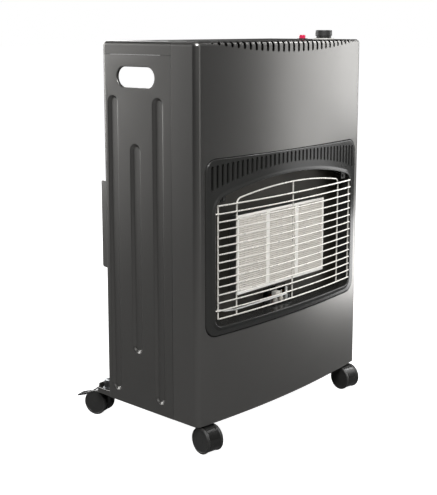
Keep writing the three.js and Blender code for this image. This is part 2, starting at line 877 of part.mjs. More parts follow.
// Points along the bowed guard at one height.
function guardPoint(x, z, proud = guardProud) {
  return [x, frontY(x, proud), z];
}

function guardWire(z) {
  const points = [];
  const reach = guardHalfWidth + guardStub;
  for (let i = 0; i <= guardWireSteps; i += 1) {
    const x = -reach + (2 * reach * i) / guardWireSteps;
    points.push(guardPoint(x, z));
  }
  return rod(points, wireRadius, guardWireSteps, wireSides);
}

function guardUpright(x, low, high) {
  const behind = guardProud - 2 * wireRadius + weldBite;
  return bar(guardPoint(x, low, behind), guardPoint(x, high, behind), wireRadius, wireSides);
}

// Short leg from the guard's edge back to the side of the recess.
function guardLeg(side, z) {
  const x = side * (guardHalfWidth + guardStub);
  const wall = side * (windowHalfWidth - 2 * gap - wireRadius);
  const y = frontY(x, guardProud);
  const run = [[x - 2 * side, y, z], [x, y + 1, z],
    [wall, y + guardLegReach / 3, z], [wall, y + guardLegReach, z]];
  return rod(run, wireRadius, 6, wireSides);
}

function wireGuard() {
  const wires = [];
  const pitch = (guardTop - guardBottom) / (guardWireCount - 1);
  for (let i = 0; i < guardWireCount; i += 1) {
    const z = bodyLift + guardBottom + i * pitch;
    wires.push(guardWire(z));
    if (guardLegWires.includes(i)) {
      wires.push(guardLeg(-1, z), guardLeg(1, z));
    }
  }
  const low = bodyLift + guardBottom - wireRadius;
  const high = bodyLift + guardTop + wireRadius;
  for (const x of [-guardHalfWidth, guardHalfWidth]) {
    wires.push(guardUpright(x, low, high));
  }
  const archEnd = bodyLift + guardArchEnd;
  const archTop = bodyLift + guardArchTop;
  wires.push(guardUpright(0, low, archTop));
  for (const x of [-guardInnerX, guardInnerX]) {
    wires.push(guardUpright(x, low, archEnd - guardBend));
  }
  wires.push(guardArch(archEnd, archTop));
  return unite(wires);
}

// Arched top wire, bent down into the two inner uprights.
function guardArch(archEnd, archTop) {
  const behind = guardProud - 2 * wireRadius + weldBite;
  const points = [guardPoint(-guardInnerX, archEnd - guardBend - 1, behind)];
  const reach = guardInnerX - guardBend;
  for (let i = -guardArchPoints; i <= guardArchPoints; i += 1) {
    const x = (reach * i) / guardArchPoints;
    const z = archHeight(x, archTop, archTop - archEnd, guardInnerX);
    points.push(guardPoint(x, z, behind));
  }
  points.push(guardPoint(guardInnerX, archEnd - guardBend - 1, behind));
  return rod(points, wireRadius, guardArchSteps, wireSides);
}

place('window_surround', windowSurround(), surroundPaint);
place('left_surround_screw', surroundScrew(-1), zincSteel);
place('right_surround_screw', surroundScrew(1), zincSteel);
place('reflector_panel', reflectorPanel(), innerSteel);
place('wire_guard', wireGuard(), nickelWire);

// ---- Burner -------------------------------------------------------------

const burnerBackY = burnerFaceY + burnerDepth;
const plaqueFrontY = burnerFaceY + burnerFrame + gap;
const plaqueBackY = plaqueFrontY + plaqueThickness;

function burnerFrameSolid() {
  const low = bodyLift + burnerBottom;
  const high = bodyLift + burnerTop;
  const plate = block(-burnerHalfWidth, burnerHalfWidth, burnerFaceY, burnerFaceY + burnerFrame,
    low, high);
  const inner = 2 * (burnerHalfWidth - frameBorder);
  const openWidth = (inner - (plaqueCount - 1) * frameBar) / plaqueCount;
  const cutters = [];
  for (let i = 0; i < plaqueCount; i += 1) {
    const x = -inner / 2 + i * (openWidth + frameBar);
    cutters.push(block(x, x + openWidth, 0, far, low + frameBorder, high - frameBorder));
  }
  return carve(plate, cutters);
}

// Open box that holds the plaques and the gas behind them.
function burnerHousing() {
  const inset = frameBorder / 2;
  const x = burnerHalfWidth - inset;
  const low = bodyLift + burnerBottom + inset;
  const high = bodyLift + burnerTop - inset;
  const y0 = plaqueFrontY;
  const body = block(-x, x, y0, burnerBackY, low, high);
  const seat = block(-x + burnerSheet, x - burnerSheet, y0 - cutOver, plaqueBackY + gap,
    low + burnerSheet, high - burnerSheet);
  const hollow = block(-x + plaqueLedge + burnerSheet, x - plaqueLedge - burnerSheet,
    y0, burnerBackY - burnerSheet, low + plaqueLedge + burnerSheet,
    high - plaqueLedge - burnerSheet);
  const ports = mixerX().map((at) => bar([at, mixerY, low - cutOver],
    [at, mixerY, low + plaqueLedge + burnerSheet + cutOver], mixerRadius + gap, 20));
  return carve(body, [seat, hollow, ...ports]);
}

const mixerY = burnerBackY - burnerSheet - mixerRadius - plaqueLedge;

function mixerX() {
  return [-1, 0, 1].map((i) => (i * 2 * burnerHalfWidth) / plaqueCount);
}

function plaque(index) {
  const inset = frameBorder / 2 + burnerSheet + gap;
  const span = 2 * (burnerHalfWidth - inset);
  const width = (span - (plaqueCount - 1) * gap) / plaqueCount;
  const x = -span / 2 + index * (width + gap);
  return block(x, x + width, plaqueFrontY, plaqueBackY,
    bodyLift + burnerBottom + inset, bodyLift + burnerTop - inset);
}

const mixerTop = bodyLift + burnerBottom + frameBorder / 2 + mixerTenon;
const mixerBottom = mixerTop - mixerLength;
const railTop = mixerBottom - jetHeight + jetReach;
const railX0 = mixerX()[0] - railOverhang;
const railX1 = burnerHalfWidth;

// Tube that mixes gas with air, flared at its lower mouth.
function mixingTube(x) {
  const inner = mixerRadius - mixerWall;
  const profile = [
    [inner, mixerTop], [inner, mixerBottom + mixerFlare], [mixerMouth - mixerWall, mixerBottom],
    [mixerMouth, mixerBottom], [mixerRadius, mixerBottom + mixerFlare], [mixerRadius, mixerTop],
    [inner, mixerTop],
  ];
  return turned(profile, 14).translate([x, mixerY, 0]);
}

function gasRail() {
  const body = block(railX0, railX1, mixerY - railSide / 2, mixerY + railSide / 2,
    railTop - railSide, railTop);
  const jets = mixerX().map((x) => bar([x, mixerY, railTop - 1],
    [x, mixerY, railTop + jetHeight], jetRadius, 10, jetRadius / 2));
  const lugs = [-1, 1].map((side) => block(
    side * railLugX - railLugWidth / 2, side * railLugX + railLugWidth / 2, mixerY,
    partitionY - gap, railTop - railSide, railTop - railSide + railLugSheet));
  return unite([body, ...jets, ...lugs]);
}

place('burner_frame', burnerFrameSolid(), paleFrame);
place('burner_housing', burnerHousing(), zincSteel);
['left', 'middle', 'right'].forEach((side, index) => {
  place(`${side}_ceramic_plaque`, plaque(index), ceramic);
  place(`${side}_mixing_tube`, mixingTube(mixerX()[index]), zincSteel);
});
place('gas_rail', gasRail(), brass);

// ---- Pilot light --------------------------------------------------------

const shelfZ = bodyLift + windowBottom + pilotShelfRise;

function pilotBracket() {
  const y1 = windowDepth;
  const half = pilotShelfWidth / 2;
  const shelf = block(-half, half, pilotShelfFront, y1, shelfZ, shelfZ + pilotSheet);
  const foot = block(-half, half, y1 - pilotSheet, y1, shelfZ - pilotFoot, shelfZ + pilotSheet);
  const cheeks = [-1, 1].map((side) => {
    const x = [side * half, side * (half - pilotSheet)];
    return block(Math.min(...x), Math.max(...x), pilotShelfFront + pilotCheekSet, y1,
      shelfZ, shelfZ + pilotCheekHeight);
  });
  const holes = [pilotBurnerX, electrodeX, thermocoupleX].map((x) => bar(
    [x, pilotRowY, shelfZ - cutOver], [x, pilotRowY, shelfZ + cutOver],
    pilotStemRadius + gap, 12));
  return carve(unite([shelf, foot, ...cheeks]), holes);
}

// Nut that clamps a stem to the shelf.
function pilotCollar(x) {
  return bar([x, pilotRowY, shelfZ + pilotSheet + gap], [x, pilotRowY, shelfZ + pilotCollarTop],
    pilotCollarRadius, 6);
}

function pilotBurner() {
  const x = pilotBurnerX;
  const top = shelfZ + pilotTop;
  const under = top - pilotHoodHeight;
  const stem = bar([x, pilotRowY, shelfZ - pilotStemDrop], [x, pilotRowY, under + pilotWall],
    pilotStemRadius, 12);
  const hood = block(x - pilotHoodHalf, x + pilotHoodHalf, pilotRowY - pilotHoodFront,
    pilotRowY + pilotHoodBack, under, top);
  const mouth = block(x - pilotHoodHalf + pilotWall, x + pilotHoodHalf + cutOver,
    pilotRowY - pilotHoodFront + pilotWall, pilotRowY + pilotHoodBack - pilotWall,
    under + 2 * pilotWall, top - pilotWall);
  return unite([stem, hood, pilotCollar(x)]).subtract(mouth);
}

function sparkElectrode() {
  const x = electrodeX;
  const core = bar([x, pilotRowY, shelfZ - pilotStemDrop], [x, pilotRowY, shelfZ + electrodeCoreTop],
    pilotStemRadius, 12);
  const tip = rod([[x, pilotRowY, shelfZ + electrodeCoreTop - 1],
    [x, pilotRowY, shelfZ + (electrodeCoreTop + electrodeTop) / 2],
    [x - electrodeLean, pilotRowY - electrodeLean, shelfZ + electrodeTop]], electrodeRadius, 6, 6);
  return unite([core, pilotCollar(x), tip]);
}

const tapBottom = underTop - gap - tapDrop - tapHeight;

// Sensor tip in the pilot flame and its long metal-sleeved lead up to the gas tap.
function thermocouple() {
  const x = thermocoupleX;
  const tip = bar([x, pilotRowY, shelfZ - pilotStemDrop], [x, pilotRowY, shelfZ + sensorTop],
    pilotStemRadius, 12, sensorTipRadius);
  const rowY = partitionY - leadSet;
  const rowZ = bodyLift + shieldZ + leadRise;
  const end = tapX - tapWidth / 2 - gap;
  const entry = tapBottom + leadEntry;
  const lead = rod([
    [x, pilotRowY, leadRowZ], [x - 4, pilotRowY - 6, leadRowZ], [x - 14, 1, leadRowZ],
    [-30, 0, leadRowZ], [between(-30, leadTurnX, 0.46), 1, leadRowZ],
    [leadTurnX + 20, 3, leadRowZ], [leadTurnX + 4, 8, leadRowZ], [leadTurnX, 16, leadRowZ],
    [leadTurnX, 30, leadRowZ],
    [leadTurnX, 48, leadRowZ + 8], [leadTurnX - 4, rowY - 11, leadRowZ + 40],
    [leadTurnX - 4, rowY - 9, between(leadRowZ, rowZ, 0.27)],
    [leadTurnX - 4, rowY - 7, between(leadRowZ, rowZ, 0.7)],
    [leadTurnX + 4, rowY - 3, rowZ - 18], [leadTurnX + 40, rowY, rowZ],
    [between(leadTurnX, end, 0.38), rowY, rowZ], [between(leadTurnX, end, 0.69), rowY, rowZ],
    [end - 22, rowY, rowZ + 2], [end - 10, rowY - 7, entry - 6], [end - 6, tapY + 4, entry],
    [end, tapY + 4, entry],
  ], leadRadius, 52, 5);
  return tip.add(lead);
}

place('pilot_bracket', pilotBracket(), zincSteel);
place('pilot_burner', pilotBurner(), nickelWire);
place('spark_electrode', sparkElectrode(), porcelain);
place('thermocouple', thermocouple(), zincSteel);

// ---- Gas tap, igniter, pipes --------------------------------------------

const tapTop = tapBottom + tapHeight;

function gasTap() {
  const body = block(tapX - tapWidth / 2, tapX + tapWidth / 2, tapY - tapDepth / 2,
    tapY + tapDepth / 2, tapBottom, tapTop);
  const neck = bar([tapX, tapY, tapTop - 1], [tapX, tapY, underTop - gap], tapNeck, 20);
  const inlet = bar([tapX, tapY, bodyLift + nippleZ],
    [tapX, partitionY - tapInletSet, bodyLift + nippleZ], tapInletRadius, 6);
  const bore = bar([tapX, tapY, underTop - tapBoreDepth], [tapX, tapY, underTop + cutOver],
    tapBore, 20);
  return unite([body, neck, inlet]).subtract(bore);
}

const plungerZ = underTop - tapBoreDepth + knobPress + plungerRoom;

function valvePlunger() {
  return bar([tapX, tapY, plungerZ], [tapX, tapY, plungerZ + plungerHeight], tapBore - gap, 20);
}

const dialTop = bodyTop + gap + dialHeight;
const knobBase = dialTop + knobRoom + knobPress;
const dialBossTop = knobBase + gap;
const knobRecess = dialBossTop + knobPress + knobRoom;

function valveSpindle() {
  const top = knobBase + knobSocket - gap;
  return bar([tapX, tapY, plungerZ + plungerHeight + gap], [tapX, tapY, top], spindleRadius, 16);
}

// Flat ring with a boss that fills the hollow under the knob.
function dialPlate() {
  const ring = bar([tapX, tapY, bodyTop + gap], [tapX, tapY, dialTop], dialRadius, 32,
    dialRadius - dialSlope);
  const boss = bar([tapX, tapY, bodyTop + gap], [tapX, tapY, dialBossTop], dialBossRadius, 28);
  const hole = bar([tapX, tapY, bodyTop - cutOver], [tapX, tapY, dialBossTop + cutOver],
    spindleRadius + gap, 20);
  return ring.add(boss).subtract(hole);
}

// Round knob, hollow underneath, with a hollow on both sides of the bar that the fingers hold.
function controlKnob() {
  const top = knobBase + knobHeight;
  const profile = [
    [0, knobBase], [knobRadius, knobBase], [knobRadius - knobDraft, top - knobRound],
    [knobRadius - knobDraft - knobRound, top], [0, top],
  ];
  const body = turned(profile, 32);
  const recess = bar([0, 0, knobBase - cutOver], [0, 0, knobRecess], dialBossRadius + gap, 28);
  const socket = bar([0, 0, knobBase - cutOver], [0, 0, knobBase + knobSocket],
    spindleRadius + gap, 16);
  const grips = [-1, 1].map((side) => {
    const y = [side * knobGripWidth / 2, side * far];
    return block(-far, far, Math.min(...y), Math.max(...y), knobRecess + knobFloor, top + cutOver)
      .intersect(bar([0, 0, knobBase], [0, 0, top + cutOver], knobRadius - 2 * knobRound, 32));
  });
  return carve(body, [recess, socket, ...grips])
    .rotate([0, 0, knobGripTurn]).translate([tapX, tapY, 0]);
}

const buttonTop = bodyTop + buttonProud;
const buttonBottom = buttonTop - buttonLength;

function igniterBody() {
  const low = underTop - gap - igniterLength;
  const collarZ = bodyTop + gap;
  const collarRadius = igniterNeck + igniterCollarSpread;
  const wellZ = buttonBottom - buttonTravel - buttonRoom;
  const profile = [
    [0, low], [igniterRadius, low], [igniterRadius, underTop - gap],
    [igniterNeck, underTop - gap], [igniterNeck, collarZ],
    [collarRadius, collarZ], [collarRadius, collarZ + igniterCollar],
    [buttonRadius + gap, collarZ + igniterCollar], [buttonRadius + gap, wellZ], [0, wellZ],
  ];
  return turned(profile, 16).translate([buttonX, buttonY, 0]);
}

function igniterButton() {
  const profile = [
    [0, buttonBottom], [buttonRadius, buttonBottom], [buttonRadius, buttonTop - buttonRound],
    [buttonRadius - buttonRound / 3, buttonTop - buttonRound / 3],
    [buttonRadius - buttonRound, buttonTop], [0, buttonTop],
  ];
  return turned(profile, 16).translate([buttonX, buttonY, 0]);
}

function mainGasPipe() {
  const z = railTop - railSide / 2;
  const x = tapX + tapPipeOffset;
  return rod([
    [railX1 + gap, mixerY, z], [between(railX1, x, 0.25), mixerY, z],
    [between(railX1, x, 0.7), mixerY, z + 6],
    [x, tapY, z + 36], [x, tapY, z + 90], [x, tapY, between(z, tapBottom, 0.45)],
    [x, tapY, between(z, tapBottom, 0.75)],
    [x, tapY, tapBottom - 20], [x, tapY, tapBottom - gap],
  ], mainPipeRadius, 26, 8);
}

function pilotGasPipe() {
  const x = pilotBurnerX;
  const z = shelfZ + pilotCheekHeight;
  const rise = tapX - tapPipeOffset;
  const y = windowDepth + pipeSet;
  return rod([
    [x, pilotRowY + pilotStemRadius + gap, z], [x, windowDepth, z], [x + 4, y - 0.5, z],
    [x + 16, y, z], [between(x, rise, 0.39), y, z + 3],
    [between(x, rise, 0.7), y + 0.5, z + 7], [between(x, rise, 0.88), y + 9, z + 33],
    [rise - 2, tapY, z + 100], [rise, tapY, between(z, tapBottom, 0.6)],
    [rise, tapY, between(z, tapBottom, 0.85)],
    [rise, tapY, tapBottom - 20], [rise, tapY, tapBottom - gap],
  ], pilotPipeRadius, 32, 6);
}

function ignitionLead() {
  const x = electrodeX;
  const low = underTop - gap - igniterLength - gap;
  const side = between(burnerHalfWidth, tapX, 0.27);
  const y = windowDepth + pipeSet;
  return rod([
    [x, pilotRowY + pilotStemRadius + gap, shelfZ + 9], [x, pilotRowY + 7, shelfZ + 9],
    [x + 1, windowDepth, shelfZ + 14], [x + 5, y - 0.5, shelfZ + 20],
    [between(x, side, 0.4), y, shelfZ + 22], [between(x, side, 0.8), y + 0.5, shelfZ + 25],
    [side - 3, y + 15.5, shelfZ + 60], [side, partitionY - 16, between(shelfZ, low, 0.4)],
    [side, partitionY - 14, between(shelfZ, low, 0.67)],
    [buttonX + 10, buttonY + 8, between(shelfZ, low, 0.88)],
    [buttonX, buttonY, low - 20], [buttonX, buttonY, low],
  ], leadRadius, 44, 5);
}

// Inlet for the gas hose, in the bottle bay.
function hoseNipple() {
  const z = bodyLift + nippleZ;
  const y0 = partitionY - tapInletSet + gap;
  const end = partitionY + nippleLength;
  const core = nippleRadius - barbDepth;
  const barbs = [];
  for (let i = 0; i < barbCount; i += 1) {
    const y = partitionY + barbStart + i * barbPitch;
    barbs.push(bar([tapX, y, z], [tapX, y + barbLength, z], nippleRadius, 10, core));
  }
  const stem = bar([tapX, y0, z], [tapX, end, z], core, 10);
  const nut = bar([tapX, partitionY + sheet + gap, z], [tapX, partitionY + nutLength, z],
    nutRadius, 6);
  const bore = bar([tapX, y0 + nippleWall, z], [tapX, end + cutOver, z], nippleBore, 8);
  return unite([stem, nut, ...barbs]).subtract(bore);
}

place('gas_tap', gasTap(), brass);
place('valve_plunger', valvePlunger(), brass);
place('valve_spindle', valveSpindle(), zincSteel);
place('dial_plate', dialPlate(), blackPlastic);
place('control_knob', controlKnob(), blackPlastic);
place('igniter_body', igniterBody(), blackPlastic);
place('igniter_button', igniterButton(), redPlastic);
place('main_gas_pipe', mainGasPipe(), copper);
place('pilot_gas_pipe', pilotGasPipe(), copper);
place('ignition_lead', ignitionLead(), porcelain);
place('hose_nipple', hoseNipple(), brass);

// ---- Bottle retainer ----------------------------------------------------

// Side view of the retainer: a rectangle with its two rear corners rounded.
function raisedCorners(y0, y1, z0, z1, radius) {
  const quarter = Math.PI / 2;
  return runAcross([
    new THREE.Vector2(y0, z0), ...arc(y1 - radius, z0 + radius, radius, -quarter, 0, 4),
    ...arc(y1 - radius, z1 - radius, radius, 0, quarter, 4), new THREE.Vector2(y0, z1),
  ], -halfWidth, halfWidth);
}

// Sheet of constant thickness bent in plan, its outer bends rounded.
function retainerPlan(inset) {
  const edge = halfWidth - retainerEdge;
  const root = edge - retainerFlange;
  const y0 = bodyDepth + gap + retainerSheet - inset;
  const y1 = bodyDepth + gap + retainerReach - inset;
  const x1 = root - retainerSlope - inset - retainerBend;
  const side = [
    new THREE.Vector2(edge, y0), new THREE.Vector2(root - inset, y0),
    ...arc(x1, y1 - retainerBend, retainerBend, 0, Math.PI / 2, 4),
  ];
  return [...side, ...side.map((p) => new THREE.Vector2(-p.x, p.y)).reverse()];
}

function bottleRetainer() {
  const y0 = bodyDepth + gap;
  const edge = halfWidth - retainerEdge;
  const t = retainerSheet;
  const low = bodyLift + retainerBottom;
  const outline = [...retainerPlan(0), ...retainerPlan(t).reverse()];
  const y1 = y0 + retainerReach;
  const clip = raisedCorners(y0 - cutOver, y1, low, low + retainerHeight, retainerCorner);
  const band = raise(outline, low, low + retainerHeight).intersect(clip);
  const z = bodyLift + hookZ;
  const hooks = [-1, 1].flatMap((side) => {
    const x = side * (edge - retainerFlange / 2);
    const finger = bodyDepth - sheet - gap;
    return [
      block(x - hookWidth / 2, x + hookWidth / 2, finger - t, y0 + t / 2, z, z + hookHeight),
      block(x - hookWidth / 2, x + hookWidth / 2, finger - t, finger,
        z - hookDrop, z + hookHeight),
    ];
  });
  return unite([band, ...hooks]);
}

place('bottle_retainer', bottleRetainer(), sidePaint);

// ---- Casters ------------------------------------------------------------

const pivotY = -casterTrail - brakePivotBack;
const pivotZ = wheelRadius + brakePivotRise;

// One half of a twin wheel, closed on its outer face, axle along +X.
function casterWheel(side) {
  const inner = hoodWidth / 2 + gap;
  const outer = inner + wheelWidth;
  const bore = axleRadius + gap;
  const face = outer - wheelSink;
  const profile = [
    [bore, inner], [wheelRadius - wheelEdge, inner], [wheelRadius, inner + wheelEdge],
    [wheelRadius, outer - wheelEdge], [wheelRadius - wheelEdge, outer],
    [wheelRadius - wheelRim, outer], [wheelRadius - wheelRim - wheelSink, face],
    [0, face], [0, face - wheelWeb], [bore, face - wheelWeb], [bore, inner],
  ];
  const geometry = new THREE.LatheGeometry(profile.map(([r, z]) => new THREE.Vector2(r, z)), 20);
  geometry.rotateZ(-side * Math.PI / 2);
  geometry.translate(0, -casterTrail, wheelRadius);
  return toSolid(geometry);
}

function casterHood(braked) {
  const half = hoodWidth / 2;
  const centre = [-casterTrail, wheelRadius];
  const drum = bar([-half, ...centre], [half, ...centre], hoodRadius, 24);
  const neck = bar([0, 0, wheelRadius], [0, 0, bodyLift - gap], neckRadius, 20);
  const stem = bar([0, 0, bodyLift - stemSet], [0, 0, trayTop + gap + socketHeight - stemSet],
    stemRadius, 16);
  const cutters = [
    block(-far, far, -far, far, -far, hoodClear),
    bar([-far, ...centre], [far, ...centre], axleRadius + gap, 16),
  ];
  if (braked) {
    const wide = brakeArmWidth / 2 + gap;
    cutters.push(block(-wide, wide, -casterTrail - hoodRadius - cutOver,
      pivotY + brakeKnuckle + 2 * gap, pivotZ - brakeKnuckle - brakeRoom, bodyLift));
  }
  return carve(unite([drum, neck, stem]), cutters);
}

function casterAxle() {
  const reach = hoodWidth / 2 + wheelWidth - wheelSink - wheelWeb;
  return bar([-reach, -casterTrail, wheelRadius], [reach, -casterTrail, wheelRadius],
    axleRadius, 16);
}

// Foot lever that locks the wheels, hinged in the hood's trailing side.
function brakeLever() {
  const padY = -casterTrail - wheelRadius - brakeStart;
  const tipY = padY - brakePadLength;
  const half = brakeThickness / 2;
  const padZ = pivotZ - brakeStep;
  const tipZ = pivotZ - brakeTipDrop;
  const arm = runAcross([
    new THREE.Vector2(pivotY, pivotZ + half), new THREE.Vector2(padY - brakeLap, padZ + half),
    new THREE.Vector2(padY - brakeLap, padZ - half), new THREE.Vector2(pivotY, pivotZ - half),
  ], -brakeArmWidth / 2, brakeArmWidth / 2);
  const pad = runAcross([
    new THREE.Vector2(padY, padZ + half), new THREE.Vector2(tipY, tipZ + half),
    new THREE.Vector2(tipY, tipZ - half / 2), new THREE.Vector2(padY, padZ - half),
  ], -brakePadWidth / 2, brakePadWidth / 2);
  const knuckle = bar([-brakeArmWidth / 2, pivotY, pivotZ], [brakeArmWidth / 2, pivotY, pivotZ],
    brakeKnuckle, 14);
  return unite([arm, pad, knuckle]);
}

// Bush on the tray that takes the stem.
function casterSocket() {
  const low = trayTop + gap;
  const profile = [
    [stemRadius + gap, low], [socketRadius + socketFlange, low],
    [socketRadius + socketFlange, low + socketFlangeThickness],
    [socketRadius, low + socketFlangeThickness], [socketRadius, low + socketHeight],
    [stemRadius + gap, low + socketHeight], [stemRadius + gap, low],
  ];
  return turned(profile, 12);
}

function caster(name, x, y, turn, braked) {
  const mount = new THREE.Group();
  mount.position.set(x, y, 0);
  mount.rotation.z = THREE.MathUtils.degToRad(turn);
  heater.add(mount);
  place(`${name}_caster_socket`, casterSocket(), zincSteel, mount);
  place(`${name}_caster_hood`, casterHood(braked), glossBlack, mount);
  place(`${name}_caster_axle`, casterAxle(), zincSteel, mount);
  place(`${name}_wheel_near`, casterWheel(-1), blackPlastic, mount);
  place(`${name}_wheel_far`, casterWheel(1), blackPlastic, mount);
  if (braked) {
    place(`${name}_brake_lever`, brakeLever(), glossBlack, mount);
  }
}

caster('front_left', -casterX, frontCasterY, frontCasterTurn, false);
caster('front_right', casterX, frontCasterY, frontCasterTurn, false);
caster('rear_left', -casterX, rearCasterY, rearCasterTurn, true);
caster('rear_right', casterX, rearCasterY, rearCasterTurn, true);

// The origin is on the floor under the middle of the whole heater.
heater.updateMatrixWorld(true);
const footprint = new THREE.Box3().setFromObject(heater, true);
heater.position.y = -(footprint.min.y + footprint.max.y) / 2;

export default heater;
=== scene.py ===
import json
import math

import bmesh
import bpy
from mathutils import Matrix, Vector

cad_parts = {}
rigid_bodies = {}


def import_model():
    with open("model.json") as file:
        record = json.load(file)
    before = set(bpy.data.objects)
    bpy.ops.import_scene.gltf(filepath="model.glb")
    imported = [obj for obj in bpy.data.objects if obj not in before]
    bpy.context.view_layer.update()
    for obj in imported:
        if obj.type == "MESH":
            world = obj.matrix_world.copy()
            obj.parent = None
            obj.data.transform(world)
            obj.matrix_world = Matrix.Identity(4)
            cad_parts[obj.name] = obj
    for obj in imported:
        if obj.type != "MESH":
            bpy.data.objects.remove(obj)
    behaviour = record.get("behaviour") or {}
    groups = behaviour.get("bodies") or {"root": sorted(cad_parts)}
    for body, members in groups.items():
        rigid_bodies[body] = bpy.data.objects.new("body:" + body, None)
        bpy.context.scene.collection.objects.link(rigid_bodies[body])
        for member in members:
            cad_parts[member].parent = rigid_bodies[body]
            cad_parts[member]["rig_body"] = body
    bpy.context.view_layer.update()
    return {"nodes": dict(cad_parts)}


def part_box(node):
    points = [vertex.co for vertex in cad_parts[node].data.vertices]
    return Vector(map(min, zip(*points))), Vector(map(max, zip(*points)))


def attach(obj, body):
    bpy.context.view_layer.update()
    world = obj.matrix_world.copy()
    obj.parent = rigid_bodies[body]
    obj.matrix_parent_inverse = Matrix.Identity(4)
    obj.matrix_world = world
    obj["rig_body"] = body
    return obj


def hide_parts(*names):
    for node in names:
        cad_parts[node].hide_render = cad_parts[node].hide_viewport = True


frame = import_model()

# Shapes are drawn in millimetres with y = 0 on the line through the two front corners,
# and makePiece brings them to metres in the model's own frame.

casing = {
    "half": 239.0, "depth": 231.0, "bottom": 50.0, "top": 710.0,
    "bow": 16.4,            # bulge of the front
    "corner": 12.0, "rearCorner": 10.0, "roll": 8.0,
    "sheet": 1.2, "gap": 0.3, "seam": 58.7, "skirt": 687.0,
    "edgeRound": 0.5, "bowSteps": 72,
}
bowRadius = (casing["half"] ** 2 + casing["bow"] ** 2) / (2 * casing["bow"])
bowCentre = bowRadius - casing["bow"]
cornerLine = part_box("front_panel")[0].y * 1000 + casing["bow"]
toFrame = Matrix.Scale(0.001, 4) @ Matrix.Translation((0, cornerLine, 0))


# Points along an arc, from start to end in radians.
def arc(u, v, radius, start, end, steps):
    turns = [start + (end - start) * i / steps for i in range(steps + 1)]
    return [(u + radius * math.cos(t), v + radius * math.sin(t)) for t in turns]


# Angles of a quarter circle in even steps.
def quarterTurn(steps):
    return [i / steps * math.pi / 2 for i in range(steps + 1)]


def roundedRect(u0, u1, v0, v1, radius, steps):
    q = math.pi / 2
    return (arc(u1 - radius, v1 - radius, radius, 0, q, steps)
            + arc(u0 + radius, v1 - radius, radius, q, 2 * q, steps)
            + arc(u0 + radius, v0 + radius, radius, 2 * q, 3 * q, steps)
            + arc(u1 - radius, v0 + radius, radius, 3 * q, 4 * q, steps))


def uprightSlot(u, low, high, width, steps):
    r = width / 2
    return arc(u, high - r, r, 0, math.pi, steps) + arc(u, low + r, r, math.pi, 2 * math.pi, steps)


def lyingSlot(low, high, v, width, steps):
    r, q = width / 2, math.pi / 2
    return arc(high - r, v, r, -q, q, steps) + arc(low + r, v, r, q, 3 * q, steps)


# Rectangle whose top side is an arc, all corners rounded, moved out by grow.
def bowedOutline(half, radius, peak, base, bowCorner, baseCorner, grow=0.0, steps=48, turns=8):
    centre = peak - radius
    cornerU = half - bowCorner
    cornerV = centre + math.sqrt((radius - bowCorner) ** 2 - cornerU ** 2)
    lean = math.atan2(cornerV - centre, cornerU)
    baseU, baseV, q = half - baseCorner, base + baseCorner, math.pi / 2
    return (arc(cornerU, cornerV, bowCorner + grow, 0, lean, turns)
            + arc(0, centre, radius + grow, lean, math.pi - lean, steps)[1:-1]
            + arc(-cornerU, cornerV, bowCorner + grow, math.pi - lean, math.pi, turns)
            + arc(-baseU, baseV, baseCorner + grow, math.pi, math.pi + q, turns)
            + arc(baseU, baseV, baseCorner + grow, math.pi + q, 2 * math.pi, turns))


def archHeight(x, peak, drop, end):
    radius = (end * end + drop * drop) / (2 * drop)
    return peak - radius + math.sqrt(radius * radius - x * x)


# The front's face at x, moved out by proud.
def frontY(x, proud=0.0):
    return bowCentre - math.sqrt((bowRadius + proud) ** 2 - x * x)


def vertsOf(geom):
    return [v for v in geom if isinstance(v, bmesh.types.BMVert)]


def edgesOf(geom):
    return [e for e in geom if isinstance(e, bmesh.types.BMEdge)]


def ring(bm, points):
    verts = [bm.verts.new(p) for p in points]
    return [bm.edges.new((a, b)) for a, b in zip(verts, verts[1:] + verts[:1])]


# Skin through rings that have as many points each.
def loft(bm, rings):
    made = [ring(bm, points) for points in rings]
    for before, after in zip(made, made[1:]):
        bmesh.ops.bridge_loops(bm, edges=before + after)
    return made


def faceOut(bm):
    bmesh.ops.recalc_face_normals(bm, faces=bm.faces)


def turnOver(bm):
    bmesh.ops.reverse_faces(bm, faces=bm.faces)


# Fills the flat area between an outer ring and the rings inside it.
def fillFlat(bm, rings):
    edges = [e for made in rings for e in made]
    bmesh.ops.triangle_fill(bm, use_beauty=True, use_dissolve=False, edges=edges)


def capRing(bm, edges):
    return bmesh.ops.contextual_create(bm, geom=edges)["faces"]


# Outline in plan or front view made a prism along the axis given.
def prism(bm, points, start, end, axis):
    place = {"x": lambda u, v, w: (w, u, v), "y": lambda u, v, w: (u, w, v), "z": lambda u, v, w: (u, v, w)}
    rings = [[place[axis](u, v, w) for u, v in points] for w in (start, end)]
    made = loft(bm, rings)
    for edges in made:
        capRing(bm, edges)


# Full turn of a (radius, height) line about an upright axis.
def turned(bm, profile, steps, centre=(0, 0)):
    verts = [bm.verts.new((centre[0] + r, centre[1], z)) for r, z in profile]
    edges = [bm.edges.new(pair) for pair in zip(verts, verts[1:])]
    bmesh.ops.spin(bm, geom=verts + edges, cent=(*centre, 0), axis=(0, 0, 1),
                   angle=2 * math.pi, steps=steps, use_merge=True)
    bmesh.ops.remove_doubles(bm, verts=bm.verts, dist=0.001)
    faceOut(bm)


def boxShape(bm, low, high):
    made = bmesh.ops.create_cube(bm, size=1)["verts"]
    size = Vector(high) - Vector(low)
    bmesh.ops.scale(bm, vec=size, verts=made)
    bmesh.ops.translate(bm, vec=(Vector(low) + Vector(high)) / 2, verts=made)


# Place of a shape that stands at x, y, turned by so many degrees.
def standing(x, y, turn):
    return Matrix.Translation((x, y, 0)) @ Matrix.Rotation(math.radians(turn), 4, "Z")


def sharpEdges(bm, angle):
    return [e for e in bm.edges if len(e.link_faces) == 2 and e.calc_face_angle() > math.radians(angle)]


